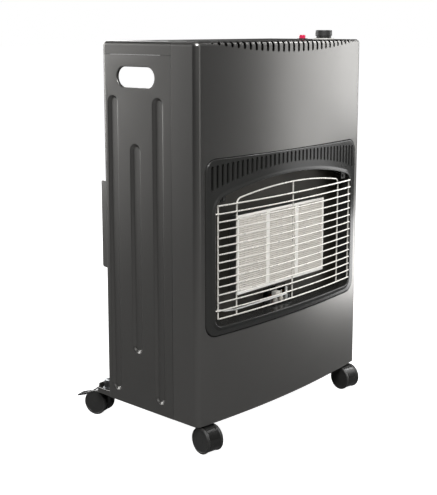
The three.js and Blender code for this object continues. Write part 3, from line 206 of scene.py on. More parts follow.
def roundEdges(bm, width, angle=30, segments=2):
    bmesh.ops.bevel(bm, geom=sharpEdges(bm, angle), offset=width, offset_type="OFFSET",
                    segments=segments, profile=0.5, affect="EDGES", material=-1, clamp_overlap=True)


def smoothPath(points, steps):
    spots = [Vector(p) for p in points]
    spots = [2 * spots[0] - spots[1]] + spots + [2 * spots[-1] - spots[-2]]
    path = []
    for a, b, c, d in zip(spots, spots[1:], spots[2:], spots[3:]):
        for i in range(steps):
            t = i / steps
            path.append(0.5 * ((2 * b) + (c - a) * t + (2 * a - 5 * b + 4 * c - d) * t ** 2
                               + (3 * b - a - 3 * c + d) * t ** 3))
    return path + [spots[-2]]


# Round wires along the paths, in one mesh.
def wires(bm, paths, radius, rounds=2):
    data = bpy.data.curves.new("wires", "CURVE")
    data.dimensions = "3D"
    data.bevel_depth = radius
    data.bevel_resolution = rounds
    data.use_fill_caps = True
    for path in paths:
        spline = data.splines.new("POLY")
        spline.points.add(len(path) - 1)
        for spot, point in zip(spline.points, path):
            spot.co = (*point, 1)
    helper = bpy.data.objects.new("wires", data)
    bpy.context.scene.collection.objects.link(helper)
    mesh = bpy.data.meshes.new_from_object(helper.evaluated_get(bpy.context.evaluated_depsgraph_get()))
    bm.from_mesh(mesh)
    bpy.data.objects.remove(helper)
    bpy.data.curves.remove(data)
    bpy.data.meshes.remove(mesh)


def smoothFaces(piece, angle=32):
    piece.data.shade_smooth()
    piece.data.set_sharp_from_angle(angle=math.radians(angle))


def makeObject(name, bm):
    bm.normal_update()
    bmesh.ops.transform(bm, matrix=toFrame, verts=bm.verts)
    mesh = bpy.data.meshes.new(name)
    bm.to_mesh(mesh)
    bm.free()
    piece = bpy.data.objects.new(name, mesh)
    bpy.context.scene.collection.objects.link(piece)
    return piece


def makePiece(bm, finish, node):
    piece = makeObject(node + "_finished", bm)
    smoothFaces(piece)
    dress(piece, finish, node)
    return piece


# Gives a piece its material and its body, and hides the modelled node that it stands for.
def dress(piece, finish, node):
    evenNormals(piece)
    piece.data.materials.clear()
    piece.data.materials.append(material(finish))
    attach(piece, frame["nodes"][node]["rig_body"])
    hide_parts(node)


# Flat faces shade flat and rounded edges shade round.
def evenNormals(piece):
    even = piece.modifiers.new("normals", "WEIGHTED_NORMAL")
    even.mode = "FACE_AREA"
    even.weight = 50
    even.keep_sharp = True
    settle(piece, False)


# Carries out the modifiers, so that the mesh is final.
def settle(piece, smooth=True):
    bpy.context.view_layer.update()
    graph = bpy.context.evaluated_depsgraph_get()
    mesh = bpy.data.meshes.new_from_object(piece.evaluated_get(graph))
    piece.modifiers.clear()
    old = piece.data
    piece.data = mesh
    bpy.data.meshes.remove(old)
    if smooth:
        smoothFaces(piece)


# Gives a skin its wall and, where asked, rounded edges. Both in millimetres.
def thicken(piece, wall, edgeRound, even=True):
    shell = piece.modifiers.new("wall", "SOLIDIFY")
    shell.thickness = wall / 1000
    shell.offset = -1
    shell.use_even_offset = even
    settle(piece)
    if edgeRound:
        softCorners(piece, edgeRound, 60)


# Adds boxes with softened edges, given in millimetres.
def addBoxes(piece, boxes, edge=0.3):
    bm = bmesh.new()
    for low, high in boxes:
        boxShape(bm, low, high)
    roundEdges(bm, edge)
    bmesh.ops.transform(bm, matrix=toFrame, verts=bm.verts)
    bm.from_mesh(piece.data)
    bm.to_mesh(piece.data)
    bm.free()
    smoothFaces(piece)


def softCorners(piece, width, angle):
    soft = piece.modifiers.new("edges", "BEVEL")
    soft.width = width / 1000
    soft.segments = 2
    soft.limit_method = "ANGLE"
    soft.angle_limit = math.radians(angle)
    settle(piece)


def combine(piece, tool, operation):
    cut = piece.modifiers.new("cut", "BOOLEAN")
    cut.operation = operation
    cut.solver = "EXACT"
    cut.object = tool
    settle(piece)
    bpy.data.objects.remove(tool)


# A copy of a modelled node with its loose triangles merged and its edges rounded.
def soften(node, finish, width, angle=30, segments=2):
    bm = bmesh.new()
    bm.from_mesh(frame["nodes"][node].data)
    bmesh.ops.transform(bm, matrix=toFrame.inverted(), verts=bm.verts)
    bmesh.ops.remove_doubles(bm, verts=bm.verts, dist=0.002)
    bmesh.ops.dissolve_limit(bm, angle_limit=math.radians(0.5), verts=bm.verts, edges=bm.edges)
    roundEdges(bm, width, angle, segments)
    return makePiece(bm, finish, node)


def linear(hexColour):
    parts = [int(hexColour[i:i + 2], 16) / 255 for i in (1, 3, 5)]
    return tuple(p / 12.92 if p <= 0.04045 else ((p + 0.055) / 1.055) ** 2.4 for p in parts) + (1.0,)


def addNode(tree, kind, values=(), links=(), **settings):
    node = tree.nodes.new(kind)
    for key, value in settings.items():
        setattr(node, key, value)
    for socket, value in dict(values).items():
        node.inputs[socket].default_value = value
    for socket, source in dict(links).items():
        tree.links.new(source, node.inputs[socket])
    return node


# What each finish is, and what it gives the eye. Sizes are in millimetres.
finishes = {
    # dark metallic lacquer: near black until it mirrors a lamp, then a broad silvery highlight
    "frontPaint": {"slot": "panel_paint", "colour": "#7a7977", "second": "#757472", "patch": 90,
                   "grain": 0.9, "bump": 0.02, "rough": (0.3, 0.34), "specular": 0.5, "metallic": 0.93},
    # the same lacquer on the flat sides
    "sidePaint": {"slot": "side_paint", "colour": "#737270", "second": "#6e6d6b", "patch": 110,
                  "grain": 1.0, "bump": 0.02, "rough": (0.32, 0.36), "specular": 0.5, "metallic": 0.93},
    # heat-resisting black enamel, smooth and a little glossy
    "windowEnamel": {"slot": "surround_paint", "colour": "#272726", "second": "#2c2c2b", "patch": 60,
                     "grain": 0.8, "bump": 0.02, "rough": (0.2, 0.24), "specular": 0.26, "metallic": 0.0},
    # bare steel darkened by heat: brown-grey and dull
    "bluedSteel": {"slot": "inner_steel", "colour": "#3a362f", "second": "#2a2824", "patch": 40,
                   "grain": 1.5, "bump": 0.03, "rough": (0.45, 0.6), "specular": 0.5, "metallic": 0.6},
    # drawn stainless tube: pale, catches the light along its length
    "brightTube": {"slot": "zinc_steel", "colour": "#e4e4e2", "second": "#d6d6d4", "patch": 12,
                   "grain": 0.6, "bump": 0.01, "rough": (0.28, 0.36), "specular": 0.5, "metallic": 0.35},
    # zinc-plated steel: grey, with faint flowers of zinc
    "zincSteel": {"slot": "zinc_steel", "colour": "#a3a5a6", "second": "#8d9092", "patch": 9,
                  "grain": 2.0, "bump": 0.02, "rough": (0.32, 0.45), "specular": 0.5, "metallic": 1.0},
    # the same plating on the parts inside the cabinet: rougher where it has gone dull, and painted darker as
    # shade
    "dullAndShadedZinc": {"slot": "zinc_steel", "colour": "#454543", "second": "#383836", "patch": 12,
                 "grain": 2.0, "bump": 0.03, "rough": (0.55, 0.7), "specular": 0.4, "metallic": 0.8},
    # bright nickel-plated wire, near white
    "nickelWire": {"slot": "nickel_wire", "colour": "#e6e3dd", "second": "#dad7d0", "patch": 25,
                   "grain": 0.6, "bump": 0.01, "rough": (0.24, 0.32), "specular": 0.5, "metallic": 0.4},
    # fired cordierite: matt, chalky and slightly warm
    "firedCeramic": {"slot": "burner_ceramic", "colour": "#e2ded8", "second": "#d8d4cd", "patch": 18,
                     "grain": 0.7, "bump": 0.15, "rough": (0.85, 0.95), "specular": 0.3, "metallic": 0.0},
    # white heat-proof enamel on the burner's frame
    "whiteEnamel": {"slot": "pale_frame", "colour": "#f7f5f0", "second": "#f1eee8", "patch": 30,
                    "grain": 1.0, "bump": 0.03, "rough": (0.45, 0.55), "specular": 0.5, "metallic": 0.0},
    # machined brass: warm yellow, smooth
    "machinedBrass": {"slot": "brass", "colour": "#9a7d43", "second": "#8a6f3a", "patch": 12,
                      "grain": 0.8, "bump": 0.02, "rough": (0.28, 0.38), "specular": 0.5, "metallic": 1.0},
    # drawn copper tube, lightly tarnished
    "drawnCopper": {"slot": "copper", "colour": "#b0714a", "second": "#8f5a3d", "patch": 20,
                    "grain": 0.8, "bump": 0.02, "rough": (0.32, 0.45), "specular": 0.5, "metallic": 1.0},
    # glazed porcelain: glossy off-white
    "glazedPorcelain": {"slot": "porcelain", "colour": "#e8e4dc", "second": "#dcd7cc", "patch": 8,
                        "grain": 0.6, "bump": 0.01, "rough": (0.15, 0.22), "specular": 0.5, "metallic": 0.0},
    # woven glass sleeve on the leads
    "glassSleeve": {"slot": "lead_sleeve", "colour": "#b9b4a8", "second": "#9d978a", "patch": 3,
                    "grain": 0.9, "bump": 0.2, "rough": (0.6, 0.75), "specular": 0.4, "metallic": 0.0},
    # moulded nylon with a fine eroded texture: soft dark grey
    "blackNylon": {"slot": "black_plastic", "colour": "#262625", "second": "#2c2c2b", "patch": 15,
                   "grain": 0.6, "bump": 0.06, "rough": (0.38, 0.48), "specular": 0.5, "metallic": 0.0},
    # polished black plastic
    "glossNylon": {"slot": "gloss_black", "colour": "#1a1a19", "second": "#20201f", "patch": 20,
                   "grain": 0.9, "bump": 0.01, "rough": (0.2, 0.26), "specular": 0.5, "metallic": 0.0},
    # moulded red plastic of the igniter button
    "redPlastic": {"slot": "red_plastic", "colour": "#d0184c", "second": "#bd1443", "patch": 6,
                   "grain": 0.5, "bump": 0.03, "rough": (0.3, 0.38), "specular": 0.5, "metallic": 0.0},
    # pale satin print on the dial, with dark plain ticks and a black middle; its pale grey also stands in for
    # a painted reflection of the bright backdrop on the dial's grazing top
    "dialPrintAndSheen": {"slot": "pale_frame", "colour": "#bdbcb8", "second": "#b3b2ad", "patch": 5,
                  "grain": 0.5, "bump": 0.02, "rough": (0.4, 0.5), "specular": 0.45, "metallic": 0.0},
}


# Colour in soft patches, a fine grain in the relief, and roughness that wanders with the patches.
def material(name):
    if name in bpy.data.materials:
        return bpy.data.materials[name]
    look = finishes[name]
    made = bpy.data.materials.new(name)
    made.use_nodes = True
    tree = made.node_tree
    tree.nodes.clear()
    spot = addNode(tree, "ShaderNodeTexCoord").outputs["Object"]
    patches = addNode(tree, "ShaderNodeTexNoise", {"Scale": 1000 / look["patch"], "Detail": 3.0},
                      {"Vector": spot})
    grain = addNode(tree, "ShaderNodeTexNoise", {"Scale": 1000 / look["grain"], "Detail": 2.0},
                    {"Vector": spot})
    colour = addNode(tree, "ShaderNodeMix", {6: linear(look["colour"]), 7: linear(look["second"])},
                     {0: patches.outputs["Fac"]}, data_type="RGBA")
    rough = addNode(tree, "ShaderNodeMapRange", {"To Min": look["rough"][0], "To Max": look["rough"][1]},
                    {"Value": patches.outputs["Fac"]})
    relief = addNode(tree, "ShaderNodeBump", {"Strength": look["bump"], "Distance": 0.0005},
                     {"Height": grain.outputs["Fac"]})
    hue = printedDial(tree, spot, colour.outputs[2]) if name == "dialPrintAndSheen" else colour.outputs[2]
    shader = addNode(tree, "ShaderNodeBsdfPrincipled",
                     {"Metallic": look["metallic"], "Specular IOR Level": look["specular"]},
                     {"Base Color": hue, "Roughness": rough.outputs["Result"],
                      "Normal": relief.outputs["Normal"]})
    addNode(tree, "ShaderNodeOutputMaterial", links={"Surface": shader.outputs["BSDF"]})
    return made


# The dial's colours by distance and angle from the tap's axis.
def printedDial(tree, spot, pale):
    centre = toFrame @ Vector((*controls["tap"], 0))
    away = addNode(tree, "ShaderNodeVectorMath", {1: centre}, {0: spot}, operation="SUBTRACT")
    flat = addNode(tree, "ShaderNodeVectorMath", {1: (1, 1, 0)}, {0: away.outputs[0]}, operation="MULTIPLY")
    radius = addNode(tree, "ShaderNodeVectorMath", links={0: flat.outputs[0]},
                     operation="LENGTH").outputs["Value"]
    axes = addNode(tree, "ShaderNodeSeparateXYZ", links={0: flat.outputs[0]}).outputs

    def calc(operation, first, second):
        pair = {0: first, 1: second}
        fixed = {k: v for k, v in pair.items() if isinstance(v, float)}
        linked = {k: v for k, v in pair.items() if k not in fixed}
        return addNode(tree, "ShaderNodeMath", fixed, linked, operation=operation).outputs[0]

    angle = calc("ARCTAN2", axes[1], axes[0])
    step = calc("PINGPONG", calc("MULTIPLY", angle, dial["ticks"] / math.pi / 2), 0.5)
    tick = calc("LESS_THAN", step, dial["tickShare"])
    tick = calc("MULTIPLY", tick, calc("GREATER_THAN", radius, dial["tick"][0] / 1000))
    tick = calc("MULTIPLY", tick, calc("LESS_THAN", radius, dial["tick"][1] / 1000))
    dark = calc("MAXIMUM", tick, calc("LESS_THAN", radius, (dial["boss"] + dial["edge"]) / 1000))
    black = linear(finishes["blackNylon"]["colour"])
    return addNode(tree, "ShaderNodeMix", {7: black}, {0: dark, 6: pale}, data_type="RGBA").outputs[2]


vents = {"count": 29, "pitch": 14.5, "width": 6.0, "middleDrop": 20.0, "endDrop": 4.5}
# how far the cutting shapes reach past the sheets
reachPast = {"ventFront": 60.0, "ventTop": 20.0, "openingFront": 80.0, "openingRear": 30.0, "hole": 10.0}
surround = {
    "half": 222.0, "top": 516.0, "bottom": 205.0, "corner": 25.0, "gap": 1.2, "proud": 1.6,
    "bead": 2.4,            # rounding of the raised outer edge
    "behind": 4.0, "wall": 1.4,
    "louvres": 36, "louvrePitch": 11.8, "louvreWidth": 5.4, "louvreTop": 511.5, "topDrop": 8.0,
    "louvreBottom": 491.5, "bottomDrop": 31.0, "louvreDepth": 3.0,
    "windowHalf": 201.0, "windowTop": 473.0, "windowArch": 716.0, "windowBottom": 222.0,
    "topCorner": 28.0, "bottomCorner": 16.0, "back": 24.0,
    "rim": 8.0, "rimProud": 2.0, "rimEdge": 1.8,    # raised bead round the opening
    "cuts": 27, "cutPitch": 8.15,                   # upright cuts that let the flat face follow the bow
    "earAt": 179.0, "earHalf": 6.5, "earLow": 439.3, "earHigh": 452.4, "earWall": 2.2,
}
controls = {"tap": (178.0, 47.0), "tapHole": 6.0, "button": (108.5, 47.0), "buttonHole": 8.3}


def casingPlan():
    points = bowedOutline(casing["half"], bowRadius, casing["bow"], -casing["depth"],
                          casing["corner"], casing["rearCorner"], 0.0, casing["bowSteps"], 8)
    return [(x, -y) for x, y in points]


# Outer skin of the whole casing with its rolled top edge, open below.
def casingSkin():
    bm = bmesh.new()
    rim = ring(bm, [(x, y, casing["top"]) for x, y in casingPlan()])
    capRing(bm, rim)
    made = bmesh.ops.extrude_edge_only(bm, edges=rim)["geom"]
    bmesh.ops.translate(bm, vec=(0, 0, casing["bottom"] - casing["top"]), verts=vertsOf(made))
    faceOut(bm)
    edges = [e for e in bm.edges if all(abs(v.co.z - casing["top"]) < 0.01 for v in e.verts)]
    bmesh.ops.bevel(bm, geom=edges, offset=casing["roll"], offset_type="OFFSET", segments=7,
                    profile=0.5, affect="EDGES", material=-1, clamp_overlap=False)
    return bm


def keepSide(bm, point, normal):
    bmesh.ops.bisect_plane(bm, geom=bm.verts[:] + bm.edges[:] + bm.faces[:], dist=0.0001,
                           plane_co=point, plane_no=normal, clear_outer=True)


def ventCutter():
    bm = bmesh.new()
    end = (vents["count"] - 1) / 2 * vents["pitch"]
    edge = casing["top"] - vents["endDrop"]
    drop = vents["middleDrop"] - vents["endDrop"]
    for i in range(vents["count"]):
        x = (i - (vents["count"] - 1) / 2) * vents["pitch"]
        low = edge - drop + (edge - archHeight(x, edge, drop, end))
        slot = uprightSlot(x, low, casing["top"] + reachPast["ventTop"], vents["width"], 6)
        prism(bm, slot, -reachPast["ventFront"], 0, "y")
    faceOut(bm)
    return makeObject("ventCutter", bm)


def surroundShape(grow, steps=14):
    return roundedRect(-surround["half"] - grow, surround["half"] + grow, surround["bottom"] - grow,
                       surround["top"] + grow, surround["corner"] + grow, steps)


def frontCutter():
    bm = bmesh.new()
    prism(bm, surroundShape(0), -reachPast["openingFront"], reachPast["openingRear"], "y")
    past, top = reachPast["hole"], casing["top"]
    for name in ("tap", "button"):
        hole = arc(*controls[name], controls[name + "Hole"], 0, 2 * math.pi, 32)[:-1]
        prism(bm, hole, top - past, top + past, "z")
    faceOut(bm)
    return makeObject("frontCutter", bm)


def makeCasing():
    skin = casingSkin()
    front = skin.copy()
    keepSide(front, (0, casing["seam"], 0), (0, 1, 0))
    piece = makeObject("front_panel_finished", front)
    thicken(piece, casing["sheet"], casing["edgeRound"])
    combine(piece, ventCutter(), "DIFFERENCE")
    combine(piece, frontCutter(), "DIFFERENCE")
    dress(piece, "frontPaint", "front_panel")
    keepSide(skin, (0, casing["seam"] + casing["gap"], 0), (0, -1, 0))
    keepSide(skin, (0, 0, casing["skirt"]), (0, 0, -1))
    cover = makeObject("top_cover_finished", skin)
    thicken(cover, casing["sheet"], casing["edgeRound"])
    dress(cover, "sidePaint", "top_cover")


grooves = {
    "width": 27.0, "depth": 4.4, "shoulder": 6.6, "steps": 8,
    # of each groove: its distance behind the front corners, its bottom and its top
    "places": ((91.0, 69.0, 616.0), (147.0, 151.0, 533.0), (203.0, 69.0, 616.0)),
}
sides = {
    # hand slot: its front and rear ends, the height of its middle and its width
    "slot": (98.75, 191.25, 648.0, 35.5), "slotLip": 1.6, "slotDepth": 5.0,
    "flange": 20.0, "frontFlange": 16.0,
    # slot in the rear flange for the bottle retainer's hook
    "hookAt": 226.0, "hookWidth": 3.6, "hookLow": 399.7, "hookHigh": 440.0,
    "hookFront": 225.0, "hookRear": 240.0,
}
# strip behind the seam under the cover: (outer face's set-back, top over the seam)
tongue = {"steps": ((0.8, -0.5), (1.5, 6.0)), "inner": 2.7, "drop": 6.0, "edge": 0.1}


# The groove's wall is an S: it leaves the sheet and meets the floor in soft curves.
def pressGroove(bm, face):
    n = grooves["steps"]
    for i in range(n):
        a, b = i / n, (i + 1) / n
        rise = (3 * b * b - 2 * b ** 3) - (3 * a * a - 2 * a ** 3)
        bmesh.ops.inset_region(bm, faces=[face], thickness=grooves["shoulder"] / n,
                               depth=-rise * grooves["depth"], use_even_offset=True)


def sideSheet():
    bm = bmesh.new()
    x = -casing["half"]
    y0 = casing["seam"] + casing["gap"]
    y1 = casing["depth"] - casing["rearCorner"]
    top = casing["skirt"] - casing["gap"]
    base = casing["bottom"]
    edges = ring(bm, [(x, y, z) for y, z in ((y0, base), (y1, base), (y1, top), (y0, top))])
    rear = edges[1]
    front = edges[3]
    holes = [uprightSlot(y, low, high, grooves["width"], 14) for y, low, high in grooves["places"]]
    rings = [ring(bm, [(x, y, z) for y, z in hole]) for hole in holes]
    low, high, middle, width = sides["slot"]
    lip = sides["slotLip"]
    slot = lyingSlot(low - lip, high + lip, middle, width + 2 * lip, 14)
    slotRing = ring(bm, [(x, y, z) for y, z in slot])
    fillFlat(bm, [edges, *rings, slotRing])
    floors = [capRing(bm, made)[0] for made in rings]
    hand = capRing(bm, slotRing)[0]
    faceOut(bm)
    if floors[0].normal.x > 0:
        turnOver(bm)
    bm.normal_update()
    for face in floors:
        pressGroove(bm, face)
    # the hand slot's edge turns inwards in three steps and then runs straight
    for thickness, depth in ((0.3 * lip, -0.1 * lip), (0.4 * lip, -0.4 * lip), (0.3 * lip, -0.9 * lip),
                             (0.0, -sides["slotDepth"] + 1.4 * lip)):
        bmesh.ops.inset_region(bm, faces=[hand], thickness=thickness, depth=depth, use_even_offset=True)
    bmesh.ops.delete(bm, geom=[hand], context="FACES_ONLY")
    turnEdge(bm, rear, (x + casing["rearCorner"], y1), sides["flange"] - casing["rearCorner"])
    foldFlange(bm, front)
    return bm


# Rounds the rear edge of the sheet and runs it inwards as a flange.
def turnEdge(bm, edge, centre, reach):
    made = bmesh.ops.spin(bm, geom=[edge, *edge.verts], cent=(*centre, 0), axis=(0, 0, 1), angle=-math.pi / 2,
                          steps=6)["geom_last"]
    more = bmesh.ops.extrude_edge_only(bm, edges=edgesOf(made))["geom"]
    bmesh.ops.translate(bm, vec=(reach, 0, 0), verts=vertsOf(more))


def foldFlange(bm, edge):
    more = bmesh.ops.extrude_edge_only(bm, edges=[edge])["geom"]
    bmesh.ops.translate(bm, vec=(sides["frontFlange"], 0, 0), verts=vertsOf(more))


# Strip that closes the seam under the cover from behind.
def addTongue(piece, side):
    edge, depth = casing["skirt"], casing["depth"] - casing["rearCorner"]
    start = casing["seam"] + casing["gap"]
    boxes = []
    for setBack, rise in tongue["steps"]:
        xs = sorted((side * (casing["half"] - setBack), side * (casing["half"] - tongue["inner"])))
        boxes.append(((xs[0], start, edge - tongue["drop"]), (xs[1], depth, edge + rise)))
    addBoxes(piece, boxes, tongue["edge"])


def makeSides():
    for name, side in (("left", -1), ("right", 1)):
        bm = sideSheet()
        if side == 1:
            bmesh.ops.scale(bm, vec=(-1, 1, 1), verts=bm.verts)
            turnOver(bm)
        piece = makeObject(name + "_side_panel_finished", bm)
        thicken(piece, casing["sheet"], 0)
        addTongue(piece, side)
        cutter = bmesh.new()
        middle = side * sides["hookAt"]
        half = sides["hookWidth"] / 2
        boxShape(cutter, (middle - half, sides["hookFront"], sides["hookLow"]),
                 (middle + half, sides["hookRear"], sides["hookHigh"]))
        combine(piece, makeObject("hookCutter", cutter), "DIFFERENCE")
        dress(piece, "sidePaint", name + "_side_panel")


def windowShape(grow):
    return bowedOutline(surround["windowHalf"], surround["windowArch"], surround["windowTop"],
                        surround["windowBottom"], surround["topCorner"], surround["bottomCorner"], grow)


def makeSurround():
    bm = bmesh.new()
    bead, rim = surround["bead"], surround["rim"]
    quarter = quarterTurn(5)
    rearMark = surround["back"] + 100    # far behind for now, so that the rear rim is told from the rest
    # raised outer edge, from behind the front panel forward and round onto the face
    outer = [[(x, surround["behind"], z) for x, z in surroundShape(-surround["gap"])]]
    for t in quarter:
        grow = -surround["gap"] - bead * (1 - math.cos(t))
        outer.append([(x, bead * (1 - math.sin(t)), z) for x, z in surroundShape(grow)])
    outerRings = loft(bm, outer)
    # raised bead round the window, then the wall of the recess
    inner = []
    edge = surround["rimEdge"]
    for t in [i / 6 for i in range(7)]:
        rise = surround["rimProud"] * (3 * t * t - 2 * t ** 3)
        inner.append([(x, -rise, z) for x, z in windowShape(rim + (edge - rim) * t)])
    for t in quarter[1:]:
        fall = surround["rimProud"] - edge * (1 - math.cos(t))
        inner.append([(x, -fall, z) for x, z in windowShape(edge * (1 - math.sin(t)))])
    inner.append([(x, rearMark, z) for x, z in windowShape(0)])
    innerRings = loft(bm, inner)
    end = (surround["louvres"] - 1) / 2 * surround["louvrePitch"]
    slots = []
    for i in range(surround["louvres"]):
        x = (i - (surround["louvres"] - 1) / 2) * surround["louvrePitch"]
        high = archHeight(x, surround["louvreTop"], surround["topDrop"], end)
        low = archHeight(x, surround["louvreBottom"], surround["bottomDrop"], end)
        shape = uprightSlot(x, low, high, surround["louvreWidth"], 6)
        slots.append(ring(bm, [(u, 0, v) for u, v in shape]))
    fillFlat(bm, [outerRings[-1], innerRings[0], *slots])
    # every louvre slot gets its own wall
    for made in slots:
        deep = bmesh.ops.extrude_edge_only(bm, edges=made)["geom"]
        bmesh.ops.translate(bm, vec=(0, surround["louvreDepth"], 0), verts=vertsOf(deep))
    for i in range(-surround["cuts"], surround["cuts"] + 1):
        bmesh.ops.bisect_plane(bm, geom=bm.verts[:] + bm.edges[:] + bm.faces[:], dist=0.0001,
                               plane_co=(i * surround["cutPitch"], 0, 0), plane_no=(1, 0, 0))
    bmesh.ops.remove_doubles(bm, verts=bm.verts, dist=0.001)
    faceOut(bm)
    for vert in bm.verts:
        if vert.co.y > rearMark - 50:
            vert.co.y = surround["back"]
        else:
            vert.co.y += frontY(vert.co.x, surround["proud"])
    # the largest face that looks forward or back tells which way the skin is turned
    face = max(bm.faces, key=lambda f: f.calc_area() if abs(f.normal.y) > 0.9 else 0)
    if face.normal.y > 0:
        turnOver(bm)
    piece = makeObject("window_surround_finished", bm)
    thicken(piece, surround["wall"], 0, False)
    half, thick = surround["earHalf"], surround["earWall"]
    y = frontY(surround["earAt"]) + thick
    ears = [((x - half, y, surround["earLow"]), (x + half, y + thick, surround["earHigh"]))
            for x in (-surround["earAt"], surround["earAt"])]
    addBoxes(piece, ears)
    dress(piece, "windowEnamel", "window_surround")


guard = {
    "radius": 1.35, "proud": 4.0, "count": 15, "bottom": 237.5, "top": 435.0, "half": 194.8, "stub": 1.4,
    "inner": 151.0, "archTop": 456.0, "archEnd": 442.0, "bend": 9.0, "archSteps": 24,
    "legs": (1, 13), "legReach": 5.0,    # cross wires that carry legs, and how far a leg runs back
    "bite": 0.5,            # how far crossing wires sink into each other at a weld
    "sag": 0.3,             # how much longer the bend runs down than a round one, as a share of it
}


def crossWire(reach, z, steps=40):
    xs = [-reach + 2 * reach * i / steps for i in range(steps + 1)]
    return [(x, frontY(x, guard["proud"]), z) for x in xs]


def makeGuard():
    bm = bmesh.new()
    paths = []
    behind = guard["proud"] - 2 * guard["radius"] + guard["bite"]
    pitch = (guard["top"] - guard["bottom"]) / (guard["count"] - 1)
    reach = guard["half"] + guard["stub"]
    for i in range(guard["count"]):
        z = guard["bottom"] + i * pitch
        paths.append(crossWire(reach, z))
        if i in guard["legs"]:
            wall = surround["windowHalf"] - 2 * casing["gap"] - guard["radius"]
            y = frontY(reach, guard["proud"])
            run = [(reach - 2, y, z), (reach, y + 1, z), (wall, y + guard["legReach"] / 3, z),
                   (wall, y + guard["legReach"], z)]
            paths += [smoothPath([(side * x, v, w) for x, v, w in run], 6) for side in (-1, 1)]
    low = guard["bottom"] - guard["radius"]
    high = guard["top"] + guard["radius"]
    for x in (-guard["half"], guard["half"]):
        paths.append([(x, frontY(x, behind), low), (x, frontY(x, behind), high)])
    paths.append([(0, frontY(0, behind), low), (0, frontY(0, behind), guard["archTop"])])
    paths.append(archPath(low, behind))
    wires(bm, paths, guard["radius"])
    makePiece(bm, "nickelWire", "wire_guard")


# Inner uprights and the arched top wire are one bent wire.
def archPath(low, behind):
    turn = guard["bend"]
    reach = guard["inner"] - turn
    rise = guard["archTop"] - guard["archEnd"]
    steps = guard["archSteps"]

    def spot(x, z):
        return (x, frontY(x, behind), z)

    top = [spot(x, archHeight(x, guard["archTop"], rise, guard["inner"]))
           for x in [reach * (i / steps - 1) for i in range(2 * steps + 1)]]
    endZ = top[0][2]
    left = [spot(-guard["inner"], low)]
    for t in quarterTurn(8)[:-1]:
        z = endZ - turn * (1 - math.sin(t)) - guard["sag"] * turn * (1 - t / (math.pi / 2))
        left.append(spot(-guard["inner"] + turn * (1 - math.cos(t)), z))
    right = [(-x, y, z) for x, y, z in reversed(left)]
    return left + top + right


burner = {
    "half": 129.0, "top": 407.0, "bottom": 263.5, "face": 5.0, "border": 4.5, "bar": 9.6, "plate": 1.8,
    "corner": 2.0, "openingCorner": 1.5, "edge": 0.45,
    # the ports are drawn coarser than real ones, which are too fine to show
    "portPitch": 3.6, "wallShare": 0.27, "portLip": 0.15, "portDepth": 2.2, "margin": 2.0,
}


def makeBurner():
    bm = bmesh.new()
    inner = 2 * (burner["half"] - burner["border"])
    opening = (inner - 2 * burner["bar"]) / 3
    low, high = burner["bottom"], burner["top"]
    shapes = [roundedRect(-burner["half"], burner["half"], low, high, burner["corner"], 3)]
    for i in range(3):
        x = -inner / 2 + i * (opening + burner["bar"])
        shapes.append(roundedRect(x, x + opening, low + burner["border"], high - burner["border"],
                                  burner["openingCorner"], 3))
    loops = [ring(bm, [(u, burner["face"], v) for u, v in shape]) for shape in shapes]
    fillFlat(bm, loops)
    faceOut(bm)
    if next(iter(bm.faces)).normal.y > 0:
        turnOver(bm)
    piece = makeObject("burner_frame_finished", bm)
    thicken(piece, burner["plate"], burner["edge"])
    dress(piece, "whiteEnamel", "burner_frame")
    for name in ("left", "middle", "right"):
        makePlaque(name + "_ceramic_plaque")


# Brings a value near one of two limits onto that limit.
def snap(value, low, high, reach):
    if value < low + reach:
        return low
    return high if value > high - reach else value


# Perforated plaque: rows of small square ports, sunk into its face.
def makePlaque(node):
    low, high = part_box(node)
    low, high = toFrame.inverted() @ low, toFrame.inverted() @ high
    bm = bmesh.new()
    margin = burner["margin"]
    wide, tall = high.x - low.x, high.z - low.z
    across = round((wide - 2 * margin) / burner["portPitch"])
    up = round((tall - 2 * margin) / burner["portPitch"])
    made = bmesh.ops.create_grid(bm, x_segments=across, y_segments=up, size=0.5)["verts"]
    bmesh.ops.scale(bm, vec=(wide - 2 * margin, tall - 2 * margin, 1), verts=made)
    bmesh.ops.rotate(bm, verts=made, cent=(0, 0, 0), matrix=Matrix.Rotation(math.pi / 2, 3, "X"))
    bmesh.ops.translate(bm, verts=made, vec=((low.x + high.x) / 2, low.y, (low.z + high.z) / 2))
    cells = bm.faces[:]
    rim = [e for e in bm.edges if e.is_boundary]
    # plain border out to the plaque's edge, then its sides back to the rear
    for back in (0, high.y - low.y):
        geom = bmesh.ops.extrude_edge_only(bm, edges=rim)["geom"]
        verts = set(vertsOf(geom))
        rim = [e for e in edgesOf(geom) if all(v in verts for v in e.verts)]
        for v in verts:
            v.co.x = snap(v.co.x, low.x, high.x, margin + 0.01)
            v.co.z = snap(v.co.z, low.z, high.z, margin + 0.01)
            v.co.y += back
    faceOut(bm)
    if cells[0].normal.y > 0:
        turnOver(bm)
    bm.normal_update()
    bmesh.ops.inset_individual(bm, faces=cells, thickness=burner["portPitch"] * burner["wallShare"], depth=0)
    bmesh.ops.inset_individual(bm, faces=cells, thickness=burner["portLip"], depth=-burner["portDepth"])
    makePiece(bm, "firedCeramic", node)


# recess and socket: radius and height over the knob's underside
knob = {"radius": 16.5, "draft": 0.4, "height": 11.0, "round": 1.6, "bar": 13.0, "wall": 2.4, "floor": 6.4,
        "recess": (15.1, 4.9), "socket": (4.3, 9.0), "turn": -43.0, "edge": 0.5, "gripEdge": 1.0,
        "chamfer": 0.3}
# dish: share of the radius and depth under the top
button = {"radius": 6.0, "round": 1.3, "bottom": 699.0, "top": 719.0, "dish": ((0.55, 0.25), (0, 0.4))}
# tick: inner and outer radius of the printed ticks; tickShare: half a tick's share of its pitch
dial = {"radius": 20.5, "low": 710.3, "high": 712.3, "hole": 4.3, "boss": 14.8, "bossTop": 717.2,
        "edge": 0.3, "tick": (17.3, 19.3), "ticks": 18.0, "tickShare": 0.1}


